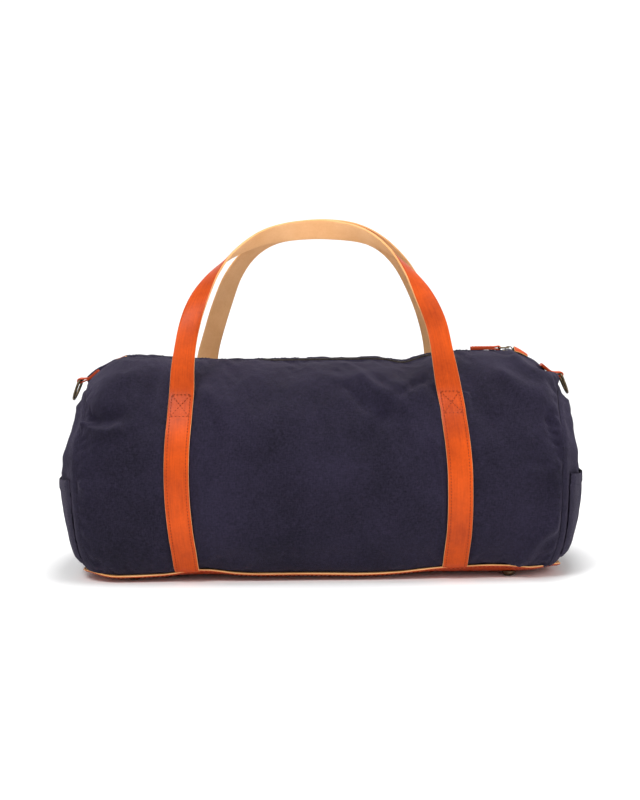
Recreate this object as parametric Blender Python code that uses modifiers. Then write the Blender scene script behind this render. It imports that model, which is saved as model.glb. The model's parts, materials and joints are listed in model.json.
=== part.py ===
"""A canvas weekender bag with leather straps, a leather base and a zip along its top.

Metres, +Z up. The bag stands on its four feet at Z = 0, its length lies along X and its
front faces -Y. The origin is on the floor under the middle of the bag.
"""

import math

import bmesh
import bpy
from mathutils import Matrix, Vector

# Gaps between pieces that touch.
GAP = 0.0003

# Body: a tube of canvas along X, closed by a domed panel at each end.
HALF_LENGTH = 0.2530
BELLY_HALF_DEPTH = 0.1255
BELLY_HEIGHT = 0.099
CREST_HEIGHT = 0.226
ARCH_POWER = 2.2
CANVAS = 0.0020
LINING = 0.0008
END_DROP_START = 0.205
END_DROP = 0.033
END_DROP_POWER = 1.6
END_BELLY_HALF_DEPTH = 0.117
END_NARROW_START = 0.150
END_RAKE = 0.010
END_BULGE = 0.0150
END_SEAM_GAP = 0.0014
DOME_POWER = 2.4
SHOULDER_HEIGHT = 0.1926

# Base: leather sheet, stiffener board and the feet that clamp them.
BASE_HALF_LENGTH = 0.2525
BASE_HALF_DEPTH = 0.1000
BASE_LEDGE = 0.0015
BASE_END_NARROWING = 0.16
BASE_CORNER = 0.028
BASE_LOW = 0.0055
BASE_THICKNESS = 0.0035
BOARD_THICKNESS = 0.0028
BOARD_INSET = 0.016
FOOT_X = 0.193
FOOT_Y = 0.0830
FOOT_RADIUS = 0.0069
FOOT_FLAT_RADIUS = 0.0040
FOOT_DOME_HEIGHT = 0.0040
FOOT_DOME_TURN = 0.52
SHANK_RADIUS = 0.0014
SHANK_END = 0.0012
HOLE_RADIUS = 0.0018
HOLE_DEPTH = 0.04
WASHER_RADIUS = 0.0055
WASHER_THICKNESS = 0.0010

# Leather straps and handles.
STRAP_WIDTH = 0.025
STRAP_THICKNESS = 0.0026
FRONT_STRAP_X = 0.139
REAR_STRAP_X = 0.134
STRAP_STAND = 0.0004
STRAP_HEIGHTS = (0.0105, 0.016, 0.024, 0.036, 0.055, 0.078, 0.099, 0.120, 0.140, 0.158, 0.174)
HANDLE_THICKNESS = 0.0030
HANDLE_HINGE_Y = 0.0975
HANDLE_ROOT_CLEARANCE = 0.0030

# Zip. The two lips of canvas beside its middle stretch fold open at the shoulders.
LIP_HALF_LENGTH = 0.0960
LIP_SIDE_GAP = 0.0008
LIP_ROOT_GAP = 0.0015
SLOT_HALF_WIDTH = 0.0060
SLOT_HALF_LENGTH = 0.2110
SLOT_TAPER = 0.016
TAPE_HALF_WIDTH = 0.0130
TAPE_SLOT = 0.0028
TAPE_LOW = 0.2215
TAPE_HIGH = 0.2223
TEETH_OUT = 0.0026
TEETH_LOW = 0.2227
TEETH_HIGH = 0.2254
TEETH_MIDDLE_GAP = 0.0002
CHAIN_HALF_LENGTH = 0.2088
SLIDER_X = 0.2030
SLIDER_LENGTH = 0.0130
SLIDER_HALF_WIDTH = 0.0044
SLIDER_GROOVE = 0.0030
SLIDER_LOW = 0.2229
SLIDER_PLATE_LOW = 0.2258
SLIDER_PLATE_HIGH = 0.2271
BRIDGE_WIRE = 0.0009
BRIDGE_HEIGHT = 0.0046
BRIDGE_SPAN = 0.0080
PULL_AXIS_X = 0.2030
PULL_AXIS_Z = 0.2296
PULL_RING_LENGTH = 0.0110
PULL_RING_HALF_WIDTH = 0.0042
PULL_RING_WIRE = 0.0007
PULL_RING_CORNER = 0.0018
PULL_EYE_GAP = 0.0004
PULL_PAST_RING = 0.0026
PULL_TIP_SHARE = 0.6
PULL_NECK_HALF_WIDTH = 0.0030
PULL_NECK_START = 0.0030
PULL_NECK_END = 0.0050
PULL_LENGTH = 0.0330
PULL_WIDTH = 0.0100
PULL_THICKNESS = 0.0040
END_TAB_START = 0.2120
END_TAB_END = 0.2350
END_TAB_HALF_WIDTH = 0.0110
END_TAB_THICKNESS = 0.0022
END_TAB_STAND = 0.0002
END_TAB_BEVEL = 0.0008
END_TAB_BEVEL_WIDTH = 0.0012
END_TAB_NARROWING = 0.75
END_TAB_THINNING = 0.35

# D-rings on the two ends.
RING_AXIS_X = 0.2575
RING_AXIS_Z = 0.2005
RING_HALF_WIDTH = 0.0125
RING_DROP = 0.0215
RING_WIRE = 0.0014
RING_LEAN = math.radians(22)
RING_BAR_INSET = 0.0015
RING_SHOULDER = 0.0012
RING_ROUNDNESS = 0.9
RING_TAB_WIDTH = 0.0180
RING_TAB_THICKNESS = 0.0034
RING_TAB_EYE = 0.0036
RING_TAB_BORE = 0.0021
RING_TAB_WRAP = 2.0
RING_TAB_START = (0.2375, 0.2112)
RING_TAB_BEND = (0.2475, 0.2027)

# Slip pockets on the end panels.
POCKET_LOW = 0.020
POCKET_TOP = 0.108
POCKET_SEAM_STAND = 0.0012
POCKET_SAG = 0.006
POCKET_STAND = 0.0085
POCKET_SIDE = 0.93
POCKET_SHEET = 0.0018

# Lining, which stands clear of the canvas, the washers and the lips' hinges.
LINING_INSET = 0.0062
LINING_ABOVE_WASHERS = 0.0035
LINING_BELOW_HINGE = 0.006
LINING_COLUMNS = (0.0, 0.05, 0.10, 0.15, 0.19, 0.225, 0.243)
LINING_LEVELS = (0.030, 0.060, 0.099, 0.132, 0.156)

# Mesh steps.
BODY_STEPS = 16
ARCH_STEPS = 10
ROUND_STEPS = 24
POCKET_ROWS = 8
POCKET_COLUMNS = 12
RIBBON_STEPS = 3

COLOURS = {
    "canvas": ((0.030, 0.025, 0.048), 0.90, 0.0),
    "lining": ((0.36, 0.30, 0.22), 0.95, 0.0),
    "leather": ((0.65, 0.13, 0.025), 0.45, 0.0),
    "brass": ((0.17, 0.12, 0.07), 0.38, 1.0),
    "zip_tape": ((0.010, 0.010, 0.014), 0.85, 0.0),
    "board": ((0.05, 0.045, 0.04), 0.80, 0.0),
}

BODY_MIDDLE = Vector((0.0, 0.0, 0.11))


def clear_scene():
    for obj in list(bpy.data.objects):
        bpy.data.objects.remove(obj, do_unlink=True)


def make_collection(name, shown=True):
    collection = bpy.data.collections.new(name)
    bpy.context.scene.collection.children.link(collection)
    collection.hide_render = not shown
    return collection


def make_materials():
    made = {}
    for name, (colour, roughness, metallic) in COLOURS.items():
        material = bpy.data.materials.new(name)
        material.use_nodes = True
        shader = material.node_tree.nodes["Principled BSDF"]
        shader.inputs["Base Color"].default_value = (*colour, 1.0)
        shader.inputs["Roughness"].default_value = roughness
        shader.inputs["Metallic"].default_value = metallic
        made[name] = material
    return made


clear_scene()
BAG = make_collection("weekender_bag")
CUTTERS = make_collection("weekender_bag_cutters", shown=False)
MATERIALS = make_materials()


def add_object(name, data, material, collection=BAG):
    obj = bpy.data.objects.new(name, data)
    collection.objects.link(obj)
    if material:
        data.materials.append(MATERIALS[material])
    return obj


def hang_on_axis(obj, pivot):
    """Moves the object's origin to a point of its joint's axis, leaving its shape in place."""
    obj.data.transform(Matrix.Translation(-Vector(pivot)))
    obj.location = pivot
    return obj


def mesh_object(name, bm, material, smooth=True, collection=BAG):
    bmesh.ops.recalc_face_normals(bm, faces=bm.faces)
    mesh = bpy.data.meshes.new(name)
    bm.to_mesh(mesh)
    bm.free()
    if smooth:
        mesh.shade_smooth()
        mesh.set_sharp_from_angle(angle=math.radians(40))
    return add_object(name, mesh, material, collection)


def mesh_of_curve(obj):
    """Turns a curve object into a mesh object of the same name, with its caps welded on."""
    bpy.context.view_layer.update()
    graph = bpy.context.evaluated_depsgraph_get()
    mesh = bpy.data.meshes.new_from_object(obj.evaluated_get(graph))
    bm = bmesh.new()
    bm.from_mesh(mesh)
    bmesh.ops.remove_doubles(bm, verts=bm.verts, dist=1e-5)
    bmesh.ops.recalc_face_normals(bm, faces=bm.faces)
    bm.to_mesh(mesh)
    bm.free()
    name, place, collection = obj.name, obj.matrix_world.copy(), obj.users_collection[0]
    bpy.data.objects.remove(obj, do_unlink=True)
    made = bpy.data.objects.new(name, mesh)
    made.matrix_world = place
    collection.objects.link(made)
    mesh.name = name
    return made


def boolean(obj, other, operation):
    modifier = obj.modifiers.new(f"{operation.lower()}_{other.name}", "BOOLEAN")
    modifier.operation = operation
    modifier.object = other
    return obj


def hide_helper(obj):
    obj.hide_render = True
    obj.display_type = "WIRE"
    return obj


def solidified(name, bm, thickness, material):
    """Gives an open surface round the body a thickness on the side that faces the inside."""
    outwards = sum(
        face.normal.dot(face.calc_center_median() - BODY_MIDDLE) * face.calc_area()
        for face in bm.faces
    )
    if outwards < 0:
        bmesh.ops.reverse_faces(bm, faces=bm.faces)
    mesh = bpy.data.meshes.new(name)
    bm.to_mesh(mesh)
    bm.free()
    mesh.shade_smooth()
    obj = add_object(name, mesh, material)
    solid = obj.modifiers.new("thickness", "SOLIDIFY")
    solid.thickness = thickness
    solid.offset = -1.0
    solid.use_even_offset = True
    return obj


def sheet(name, rows, thickness, material, skip=None):
    """A sheet over a grid of points, leaving out the cells for which skip is true."""
    bm = bmesh.new()
    grid = [[bm.verts.new(point) for point in row] for row in rows]
    for i in range(len(rows) - 1):
        for j in range(len(rows[0]) - 1):
            if skip and skip(i, j):
                continue
            corners = (grid[i][j], grid[i + 1][j], grid[i + 1][j + 1], grid[i][j + 1])
            bm.faces.new(corners)
    loose = [v for v in bm.verts if not v.link_faces]
    bmesh.ops.delete(bm, geom=loose, context="VERTS")
    bm.normal_update()
    return solidified(name, bm, thickness, material)


def loft(name, rings, material):
    """Bridges closed rings of equal length into one solid with flat ends."""
    bm = bmesh.new()
    loops = [[bm.verts.new(point) for point in ring] for ring in rings]
    count = len(rings[0])
    for near, far in zip(loops, loops[1:]):
        for k in range(count):
            following = (k + 1) % count
            bm.faces.new((near[k], near[following], far[following], far[k]))
    bm.faces.new(loops[0])
    bm.faces.new(loops[-1])
    return mesh_object(name, bm, material)


def box(name, low, high, material, bevel=0.0):
    bm = bmesh.new()
    size = Vector(high) - Vector(low)
    middle = (Vector(high) + Vector(low)) / 2
    place = Matrix.Translation(middle) @ Matrix.Diagonal((*size, 1.0))
    bmesh.ops.create_cube(bm, size=1.0, matrix=place)
    obj = mesh_object(name, bm, material, smooth=False)
    if bevel:
        rounding = obj.modifiers.new("edges", "BEVEL")
        rounding.width = bevel
        rounding.segments = 2
        rounding.limit_method = "ANGLE"
    return obj


def drill(name, x, y):
    bm = bmesh.new()
    bmesh.ops.create_cone(
        bm,
        cap_ends=True,
        segments=ROUND_STEPS,
        radius1=HOLE_RADIUS,
        radius2=HOLE_RADIUS,
        depth=HOLE_DEPTH,
        matrix=Matrix.Translation((x, y, BASE_LOW)),
    )
    return hide_helper(mesh_object(name, bm, None, collection=CUTTERS))


def flat_outline(name, loops, thickness, material, place):
    """Extrudes a flat outline, with its holes, half of its thickness to each side."""
    curve = bpy.data.curves.new(name, "CURVE")
    curve.dimensions = "2D"
    curve.fill_mode = "BOTH"
    curve.extrude = thickness / 2
    for loop in loops:
        spline = curve.splines.new("POLY")
        spline.points.add(len(loop) - 1)
        for point, (u, v) in zip(spline.points, loop):
            point.co = (u, v, 0.0, 1.0)
        spline.use_cyclic_u = True
    obj = add_object(name, curve, material)
    obj.matrix_world = place
    return obj


def wire(name, points, radius, material, closed, collection=BAG):
    curve = bpy.data.curves.new(name, "CURVE")
    curve.dimensions = "3D"
    curve.bevel_depth = radius
    curve.bevel_resolution = 2
    curve.use_fill_caps = not closed
    curve.twist_mode = "MINIMUM"
    spline = curve.splines.new("POLY")
    spline.points.add(len(points) - 1)
    for point, place in zip(spline.points, points):
        point.co = (*place, 1.0)
    spline.use_cyclic_u = closed
    return add_object(name, curve, material, collection)


def turned(name, profile, material):
    """Turns a profile of (radius, height) points, from the top down, round Z."""
    bm = bmesh.new()
    verts = [bm.verts.new((radius, 0.0, height)) for radius, height in profile]
    for a, b in zip(verts, verts[1:]):
        bm.edges.new((a, b))
    mesh = bpy.data.meshes.new(name)
    bm.to_mesh(mesh)
    bm.free()
    obj = add_object(name, mesh, material)
    screw = obj.modifiers.new("turn", "SCREW")
    screw.steps = ROUND_STEPS
    screw.render_steps = ROUND_STEPS
    screw.use_merge_vertices = True
    screw.merge_threshold = 0.00001
    return obj


def arc(centre, radius, start, end, steps):
    """Points of a circular arc in a plane; the angles are in radians."""
    cu, cv = centre
    made = []
    for i in range(steps + 1):
        angle = start + (end - start) * i / steps
        made.append((cu + radius * math.cos(angle), cv + radius * math.sin(angle)))
    return made


def rounded_rectangle(half_u, half_v, corner, steps):
    made = []
    for quarter, (su, sv) in enumerate(((1, 1), (-1, 1), (-1, -1), (1, -1))):
        centre = (su * (half_u - corner), sv * (half_v - corner))
        start = quarter * math.pi / 2
        made += arc(centre, corner, start, start + math.pi / 2, steps)
    return made


def ramp(value, start, end):
    return min(max((value - start) / (end - start), 0.0), 1.0)


def smooth(value):
    return value * value * (3.0 - 2.0 * value)


# ---------------------------------------------------------------- body surface


def crest(x):
    return CREST_HEIGHT - END_DROP * ramp(abs(x), END_DROP_START, HALF_LENGTH) ** END_DROP_POWER


def belly(x):
    narrowing = smooth(ramp(abs(x), END_NARROW_START, HALF_LENGTH))
    return BELLY_HALF_DEPTH - (BELLY_HALF_DEPTH - END_BELLY_HALF_DEPTH) * narrowing


def foot_line(x):
    """Half of the body's depth where its canvas meets the base, at one X."""
    past = max(abs(x) - (BASE_HALF_LENGTH - BASE_CORNER), 0.0)
    return BASE_HALF_DEPTH - BASE_END_NARROWING * past


BODY_LOW = BASE_LOW + BASE_THICKNESS + GAP


def upper_half_depth(x, z):
    up = min((z - BELLY_HEIGHT) / (crest(x) - BELLY_HEIGHT), 1.0)
    return belly(x) * (1 - up**ARCH_POWER) ** (1 / ARCH_POWER)


def lower_half_depth(x, z):
    low, wide = foot_line(x), belly(x)
    down = (BELLY_HEIGHT - z) / (BELLY_HEIGHT - BODY_LOW)
    return low + (wide - low) * math.sqrt(max(1 - down * down, 0.0))


def half_depth(x, z):
    return upper_half_depth(x, z) if z > BELLY_HEIGHT else lower_half_depth(x, z)


def slot_edge(x):
    """Half width of the zip's slot, which closes past the ends of the zip."""
    open_part = 1.0 - ramp(abs(x), SLOT_HALF_LENGTH, SLOT_HALF_LENGTH + SLOT_TAPER)
    return GAP + (SLOT_HALF_WIDTH - GAP) * open_part


def raked(x, y, z):
    """Leans the body's ends in towards the front and the rear."""
    reach = smooth(ramp(abs(x), END_NARROW_START, HALF_LENGTH))
    inwards = END_RAKE * reach * (y / BELLY_HALF_DEPTH) ** 2
    return (x - math.copysign(inwards, x), y, z)


def lower_profile(x):
    """(half depth, height) from the base to the belly, both ends included."""
    low, wide = foot_line(x), belly(x)
    made = []
    for i in range(BODY_STEPS // 2 + 1):
        angle = math.pi / 2 * i / (BODY_STEPS // 2)
        depth = low + (wide - low) * math.sin(angle)
        made.append((depth, BELLY_HEIGHT - (BELLY_HEIGHT - BODY_LOW) * math.cos(angle)))
    return made


def arch_profile(x, start, end, steps):
    """(half depth, height) on the arch between two arch angles."""
    made = []
    for i in range(steps + 1):
        angle = start + (end - start) * i / steps
        depth = belly(x) * math.cos(angle) ** (2 / ARCH_POWER)
        rise = math.sin(angle) ** (2 / ARCH_POWER)
        made.append((depth, BELLY_HEIGHT + (crest(x) - BELLY_HEIGHT) * rise))
    return made


def arch_angle(x, depth):
    return math.acos(min((depth / belly(x)) ** (ARCH_POWER / 2), 1.0))


SHOULDER_DEPTH = upper_half_depth(0.0, SHOULDER_HEIGHT)
SHOULDER_ANGLE = arch_angle(0.0, SHOULDER_DEPTH)
# The canvas is hinged at the middle of its thickness.
SHOULDER_NORMAL = Vector(
    (
        0.0,
        SHOULDER_DEPTH ** (ARCH_POWER - 1) / BELLY_HALF_DEPTH**ARCH_POWER,
        (SHOULDER_HEIGHT - BELLY_HEIGHT) ** (ARCH_POWER - 1)
        / (CREST_HEIGHT - BELLY_HEIGHT) ** ARCH_POWER,
    )
).normalized()
LIP_HINGE_Y = SHOULDER_DEPTH - CANVAS / 2 * SHOULDER_NORMAL.y
LIP_HINGE_Z = SHOULDER_HEIGHT - CANVAS / 2 * SHOULDER_NORMAL.z
ROOT_ANGLE = LIP_ROOT_GAP / (CREST_HEIGHT - BELLY_HEIGHT)


def panel_stations():
    """X of the panel's columns, with a line on each side of the lip's ends."""
    cut = LIP_HALF_LENGTH + LIP_SIDE_GAP
    half = [cut, 0.122, 0.150, 0.178, 0.198, 0.2110, 0.2180, 0.2270, 0.2370, 0.2460, HALF_LENGTH]
    return [-x for x in reversed(half)] + [-0.050, 0.0, 0.050] + half


def body_panel(name, side):
    """Half of the body's tube, with a notch where the lip of canvas beside the zip is."""
    stations = panel_stations()
    shoulder_row = BODY_STEPS // 2 + 5
    rows = []
    for x in stations:
        profile = lower_profile(x)
        profile += arch_profile(x, 0.0, SHOULDER_ANGLE - ROOT_ANGLE, 5)[1:]
        top = arch_angle(x, slot_edge(x))
        profile += arch_profile(x, SHOULDER_ANGLE + ROOT_ANGLE, top, ARCH_STEPS - 5)
        rows.append([raked(x, side * depth, height) for depth, height in profile])
    cut = LIP_HALF_LENGTH + LIP_SIDE_GAP / 2

    def in_notch(i, j):
        middle = (stations[i] + stations[i + 1]) / 2
        return abs(middle) < cut and j >= shoulder_row

    return sheet(name, rows, CANVAS, "canvas", in_notch)


def mouth_lip(name, side):
    rows = []
    for i in range(5):
        x = LIP_HALF_LENGTH * (i / 2 - 1)
        top = arch_angle(x, SLOT_HALF_WIDTH)
        profile = arch_profile(x, SHOULDER_ANGLE + ROOT_ANGLE, top, 7)
        rows.append([(x, side * depth, height) for depth, height in profile])
    lip = sheet(name, rows, CANVAS, "canvas")
    return hang_on_axis(lip, (0.0, side * LIP_HINGE_Y, LIP_HINGE_Z))


END_MIDDLE = (BODY_LOW + crest(HALF_LENGTH)) / 2


def end_outline():
    """Closed outline (y, z) of the body's end."""
    half = lower_profile(HALF_LENGTH)
    half += arch_profile(HALF_LENGTH, 0.0, math.pi / 2, ARCH_STEPS)[1:]
    return half + [(-y, z) for y, z in reversed(half[:-1])]


def dome_height(reach):
    """How far the end panel stands out at a share of the way from its middle to its seam."""
    return END_BULGE * math.sqrt(1 - reach**DOME_POWER)


def end_panel(name, side):
    outline = end_outline()
    rows = []
    for reach in (1.0, 0.985, 0.94, 0.85, 0.70, 0.50, 0.25):
        row = []
        for y, z in outline:
            py, pz = y * reach, END_MIDDLE + (z - END_MIDDLE) * reach
            rim_x, _, _ = raked(HALF_LENGTH + END_SEAM_GAP, py, pz)
            row.append((side * (rim_x + dome_height(reach)), py, pz))
        rows.append(row)
    tip = (side * (HALF_LENGTH + END_SEAM_GAP + END_BULGE), 0.0, END_MIDDLE)
    return closed_cap(name, rows, tip, CANVAS, "canvas")


def closed_cap(name, rows, tip, thickness, material):
    """A dish of rings that shrink to a point, solidified inwards."""
    bm = bmesh.new()
    loops = [[bm.verts.new(point) for point in row] for row in rows]
    tip = bm.verts.new(tip)
    count = len(loops[0])
    for outer, inner in zip(loops, loops[1:]):
        for k in range(count):
            following = (k + 1) % count
            bm.faces.new((outer[k], outer[following], inner[following], inner[k]))
    for k in range(count):
        bm.faces.new((loops[-1][k], loops[-1][(k + 1) % count], tip))
    bm.normal_update()
    return solidified(name, bm, thickness, material)


def inside_end(y, z):
    return BODY_LOW < z < crest(HALF_LENGTH) and abs(y) < half_depth(HALF_LENGTH, z)


def end_surface(y, z):
    """X of the right end panel's outer face at (y, z)."""
    near, far = 1.0, 1000.0
    for _ in range(40):
        stretch = (near + far) / 2
        if inside_end(y * stretch, END_MIDDLE + (z - END_MIDDLE) * stretch):
            near = stretch
        else:
            far = stretch
    rim_x, _, _ = raked(HALF_LENGTH + END_SEAM_GAP, y, z)
    return rim_x + dome_height(1 / near)


def end_pocket(name, side):
    """A patch sewn on round its sides and bottom, which stands off the panel at its mouth."""
    rows = []
    for i in range(POCKET_ROWS + 1):
        height = POCKET_LOW + (POCKET_TOP - POCKET_LOW) * i / POCKET_ROWS
        half = POCKET_SIDE * half_depth(HALF_LENGTH, height)
        row = []
        for j in range(POCKET_COLUMNS + 1):
            across = 2 * j / POCKET_COLUMNS - 1
            y = half * across
            loose = (1 - across**2) * smooth(i / POCKET_ROWS)
            stand = GAP + POCKET_SHEET + POCKET_SEAM_STAND + POCKET_STAND * loose
            row.append((side * (end_surface(y, height) + stand), y, height - POCKET_SAG * loose))
        rows.append(row)
    return sheet(name, rows, POCKET_SHEET, "canvas")


def lining():
    """A fabric bag inside the canvas, open along its top."""
    low = BODY_LOW + BOARD_THICKNESS + WASHER_THICKNESS + LINING_ABOVE_WASHERS
    columns = [-x for x in reversed(LINING_COLUMNS[1:])] + list(LINING_COLUMNS)
    bm = bmesh.new()
    loops = []
    for height in (low, *LINING_LEVELS, LIP_HINGE_Z - LINING_BELOW_HINGE):
        loop = []
        for side in (-1, 1):
            for x in columns[::-side]:
                depth = half_depth(x, height) - LINING_INSET
                loop.append(bm.verts.new(raked(x, side * depth, height)))
        loops.append(loop)
    count = len(loops[0])
    for lower, upper in zip(loops, loops[1:]):
        for k in range(count):
            following = (k + 1) % count
            bm.faces.new((lower[k], lower[following], upper[following], upper[k]))
    floor = loops[0]
    for k in range(len(columns) - 1):
        bm.faces.new((floor[k + 1], floor[k], floor[count - 1 - k], floor[count - 2 - k]))
    bm.normal_update()
    return solidified("lining", bm, LINING, "lining")


# ---------------------------------------------------------------- base and feet


def foot_places():
    for end, x in (("left", -FOOT_X), ("right", FOOT_X)):
        for face, y in (("front", -FOOT_Y), ("rear", FOOT_Y)):
            yield f"{face}_{end}", x, y


def base_layer(name, half_length, half_width, low, thickness, material):
    """A rounded plate with a hole for each foot's shank."""
    outline = rounded_rectangle(half_length, half_width, BASE_CORNER, 8)
    place = Matrix.Translation((0, 0, low + thickness / 2))
    plate = mesh_of_curve(flat_outline(name, [outline], thickness, material, place))
    for where, x, y in foot_places():
        boolean(plate, drill(f"{name}_{where}_hole", x, y), "DIFFERENCE")


def base_pieces():
    width = BASE_HALF_DEPTH + BASE_LEDGE
    base_layer("base_leather", BASE_HALF_LENGTH, width, BASE_LOW, BASE_THICKNESS, "leather")
    length = BASE_HALF_LENGTH - BOARD_INSET
    width = BASE_HALF_DEPTH - BOARD_INSET
    base_layer("base_board", length, width, BODY_LOW, BOARD_THICKNESS, "board")


def foot(where, x, y):
    """A domed stud whose shank goes up through the base and the board into its washer."""
    top = BODY_LOW + BOARD_THICKNESS + WASHER_THICKNESS + SHANK_END
    profile = [(0.0, top), (SHANK_RADIUS, top), (SHANK_RADIUS, BASE_LOW - GAP)]
    profile += [(FOOT_RADIUS, BASE_LOW - GAP)]
    profile += arc((0.0, FOOT_DOME_HEIGHT), FOOT_RADIUS, 0.0, -FOOT_DOME_TURN, 5)
    profile += [(FOOT_FLAT_RADIUS, 0.0), (0.0, 0.0)]
    obj = turned(f"foot_{where}", profile, "brass")
    obj.location = (x, y, 0.0)


def washer(where, x, y):
    low = BODY_LOW + BOARD_THICKNESS + GAP
    high = low + WASHER_THICKNESS
    inner, outer = HOLE_RADIUS, WASHER_RADIUS
    profile = [(inner, high), (outer, high), (outer, low), (inner, low), (inner, high)]
    obj = turned(f"foot_washer_{where}", profile, "brass")
    obj.location = (x, y, 0.0)


# ---------------------------------------------------------------- straps and handles


def strap(name, x, side):
    """A strap sewn on the body from the base's edge up to the shoulder."""
    heights = (*STRAP_HEIGHTS, SHOULDER_HEIGHT - HANDLE_ROOT_CLEARANCE)
    line = [Vector((x, side * half_depth(x, z), z)) for z in heights]
    rings = []
    for i, point in enumerate(line):
        along = (line[min(i + 1, len(line) - 1)] - line[max(i - 1, 0)]).normalized()
        out = Vector((1, 0, 0)).cross(along).normalized()
        if out.y * side < 0:
            out = -out
        near = point + out * (GAP + STRAP_STAND)
        far = near + out * STRAP_THICKNESS
        across = Vector((STRAP_WIDTH / 2, 0, 0))
        rings.append([near - across, near + across, far + across, far - across])
    return loft(name, rings, "leather")


def catmull(points, steps):
    """A smooth curve through the points, with some steps between each pair."""
    ends = [2 * points[0] - points[1]] + points + [2 * points[-1] - points[-2]]
    made = []
    for i in range(1, len(ends) - 2):
        p0, p1, p2, p3 = ends[i - 1 : i + 3]
        for k in range(steps):
            t = k / steps
            made.append(
                0.5
                * (
                    2 * p1
                    + (p2 - p0) * t
                    + (2 * p0 - 5 * p1 + 4 * p2 - p3) * t * t
                    + (3 * p1 - p0 - 3 * p2 + p3) * t * t * t
                )
            )
    made.append(points[-1])
    return made


def ribbon_rings(stations):
    """Rings of a flat strap along stations of (place, direction that its grain faces)."""
    centres = catmull([Vector(place) for place, _ in stations], RIBBON_STEPS)
    facings = catmull([Vector(facing).normalized() for _, facing in stations], RIBBON_STEPS)
    rings = []
    for i, centre in enumerate(centres):
        ahead = centres[min(i + 1, len(centres) - 1)]
        behind = centres[max(i - 1, 0)]
        along = (ahead - behind).normalized()
        out = (facings[i] - along * facings[i].dot(along)).normalized()
        across = along.cross(out) * (STRAP_WIDTH / 2)
        thick = out * (HANDLE_THICKNESS / 2)
        corners = (-across - thick, across - thick, across + thick, thick - across)
        rings.append([centre + corner for corner in corners])
    return rings


def handle_root(x, side):
    """Where a handle's leg starts, just above its hinge, with its grain face on the axis."""
    inwards = HANDLE_HINGE_Y - HANDLE_THICKNESS / 2 - GAP
    return (x, side * inwards, SHOULDER_HEIGHT + HANDLE_ROOT_CLEARANCE)


def front_handle():
    """Its legs' grain faces the front; it turns over at the shoulders and lies back on top."""
    stations = [
        (handle_root(-FRONT_STRAP_X, -1), (0, -1, 0)),
        ((-0.1365, -0.0925, 0.224), (0, -1, 0.15)),
        ((-0.1310, -0.0845, 0.258), (-0.10, -1, 0.15)),
        ((-0.1220, -0.0740, 0.286), (-0.35, -0.85, 0.35)),
        ((-0.1070, -0.0590, 0.313), (-0.65, -0.40, 0.60)),
        ((-0.0860, -0.0450, 0.334), (-0.70, 0.10, 0.70)),
        ((-0.0550, -0.0355, 0.3505), (-0.40, 0.60, 0.65)),
        ((-0.0200, -0.0310, 0.357), (-0.06, 0.88, 0.47)),
        ((0.0150, -0.0310, 0.357), (0.06, 0.88, 0.47)),
        ((0.0480, -0.0345, 0.3505), (0.40, 0.60, 0.65)),
        ((0.0760, -0.0430, 0.334), (0.70, 0.10, 0.70)),
        ((0.0960, -0.0560, 0.311), (0.65, -0.40, 0.60)),
        ((0.1100, -0.0700, 0.286), (0.35, -0.85, 0.35)),
        ((0.1210, -0.0815, 0.258), (0.10, -1, 0.15)),
        ((0.1310, -0.0915, 0.224), (0, -1, 0.15)),
        (handle_root(FRONT_STRAP_X, -1), (0, -1, 0)),
    ]
    obj = loft("front_handle", ribbon_rings(stations), "leather")
    return hang_on_axis(obj, (0.0, -HANDLE_HINGE_Y, SHOULDER_HEIGHT))


def rear_handle():
    """Its grain faces the rear all the way, and it lies against the front handle on top."""
    stations = [
        (handle_root(-REAR_STRAP_X, 1), (0, 1, 0)),
        ((-0.1280, 0.0925, 0.222), (0, 1, 0.15)),
        ((-0.1190, 0.0830, 0.252), (-0.05, 1, 0.15)),
        ((-0.1080, 0.0690, 0.282), (-0.25, 0.92, 0.25)),
        ((-0.0950, 0.0500, 0.310), (-0.45, 0.80, 0.40)),
        ((-0.0760, 0.0260, 0.333), (-0.50, 0.72, 0.48)),
        ((-0.0510, 0.0010, 0.3495), (-0.35, 0.80, 0.50)),
        ((-0.0220, -0.0190, 0.357), (-0.10, 0.88, 0.47)),
        ((0.0100, -0.0250, 0.3585), (0.06, 0.88, 0.47)),
        ((0.0400, -0.0210, 0.3545), (0.25, 0.84, 0.50)),
        ((0.0660, -0.0050, 0.343), (0.45, 0.75, 0.48)),
        ((0.0880, 0.0200, 0.323), (0.50, 0.74, 0.45)),
        ((0.1050, 0.0470, 0.296), (0.40, 0.82, 0.40)),
        ((0.1180, 0.0690, 0.267), (0.18, 0.94, 0.22)),
        ((0.1270, 0.0870, 0.232), (0, 1, 0.15)),
        (handle_root(REAR_STRAP_X, 1), (0, 1, 0)),
    ]
    obj = loft("rear_handle", ribbon_rings(stations), "leather")
    return hang_on_axis(obj, (0.0, HANDLE_HINGE_Y, SHOULDER_HEIGHT))


# ---------------------------------------------------------------- zip


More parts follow.
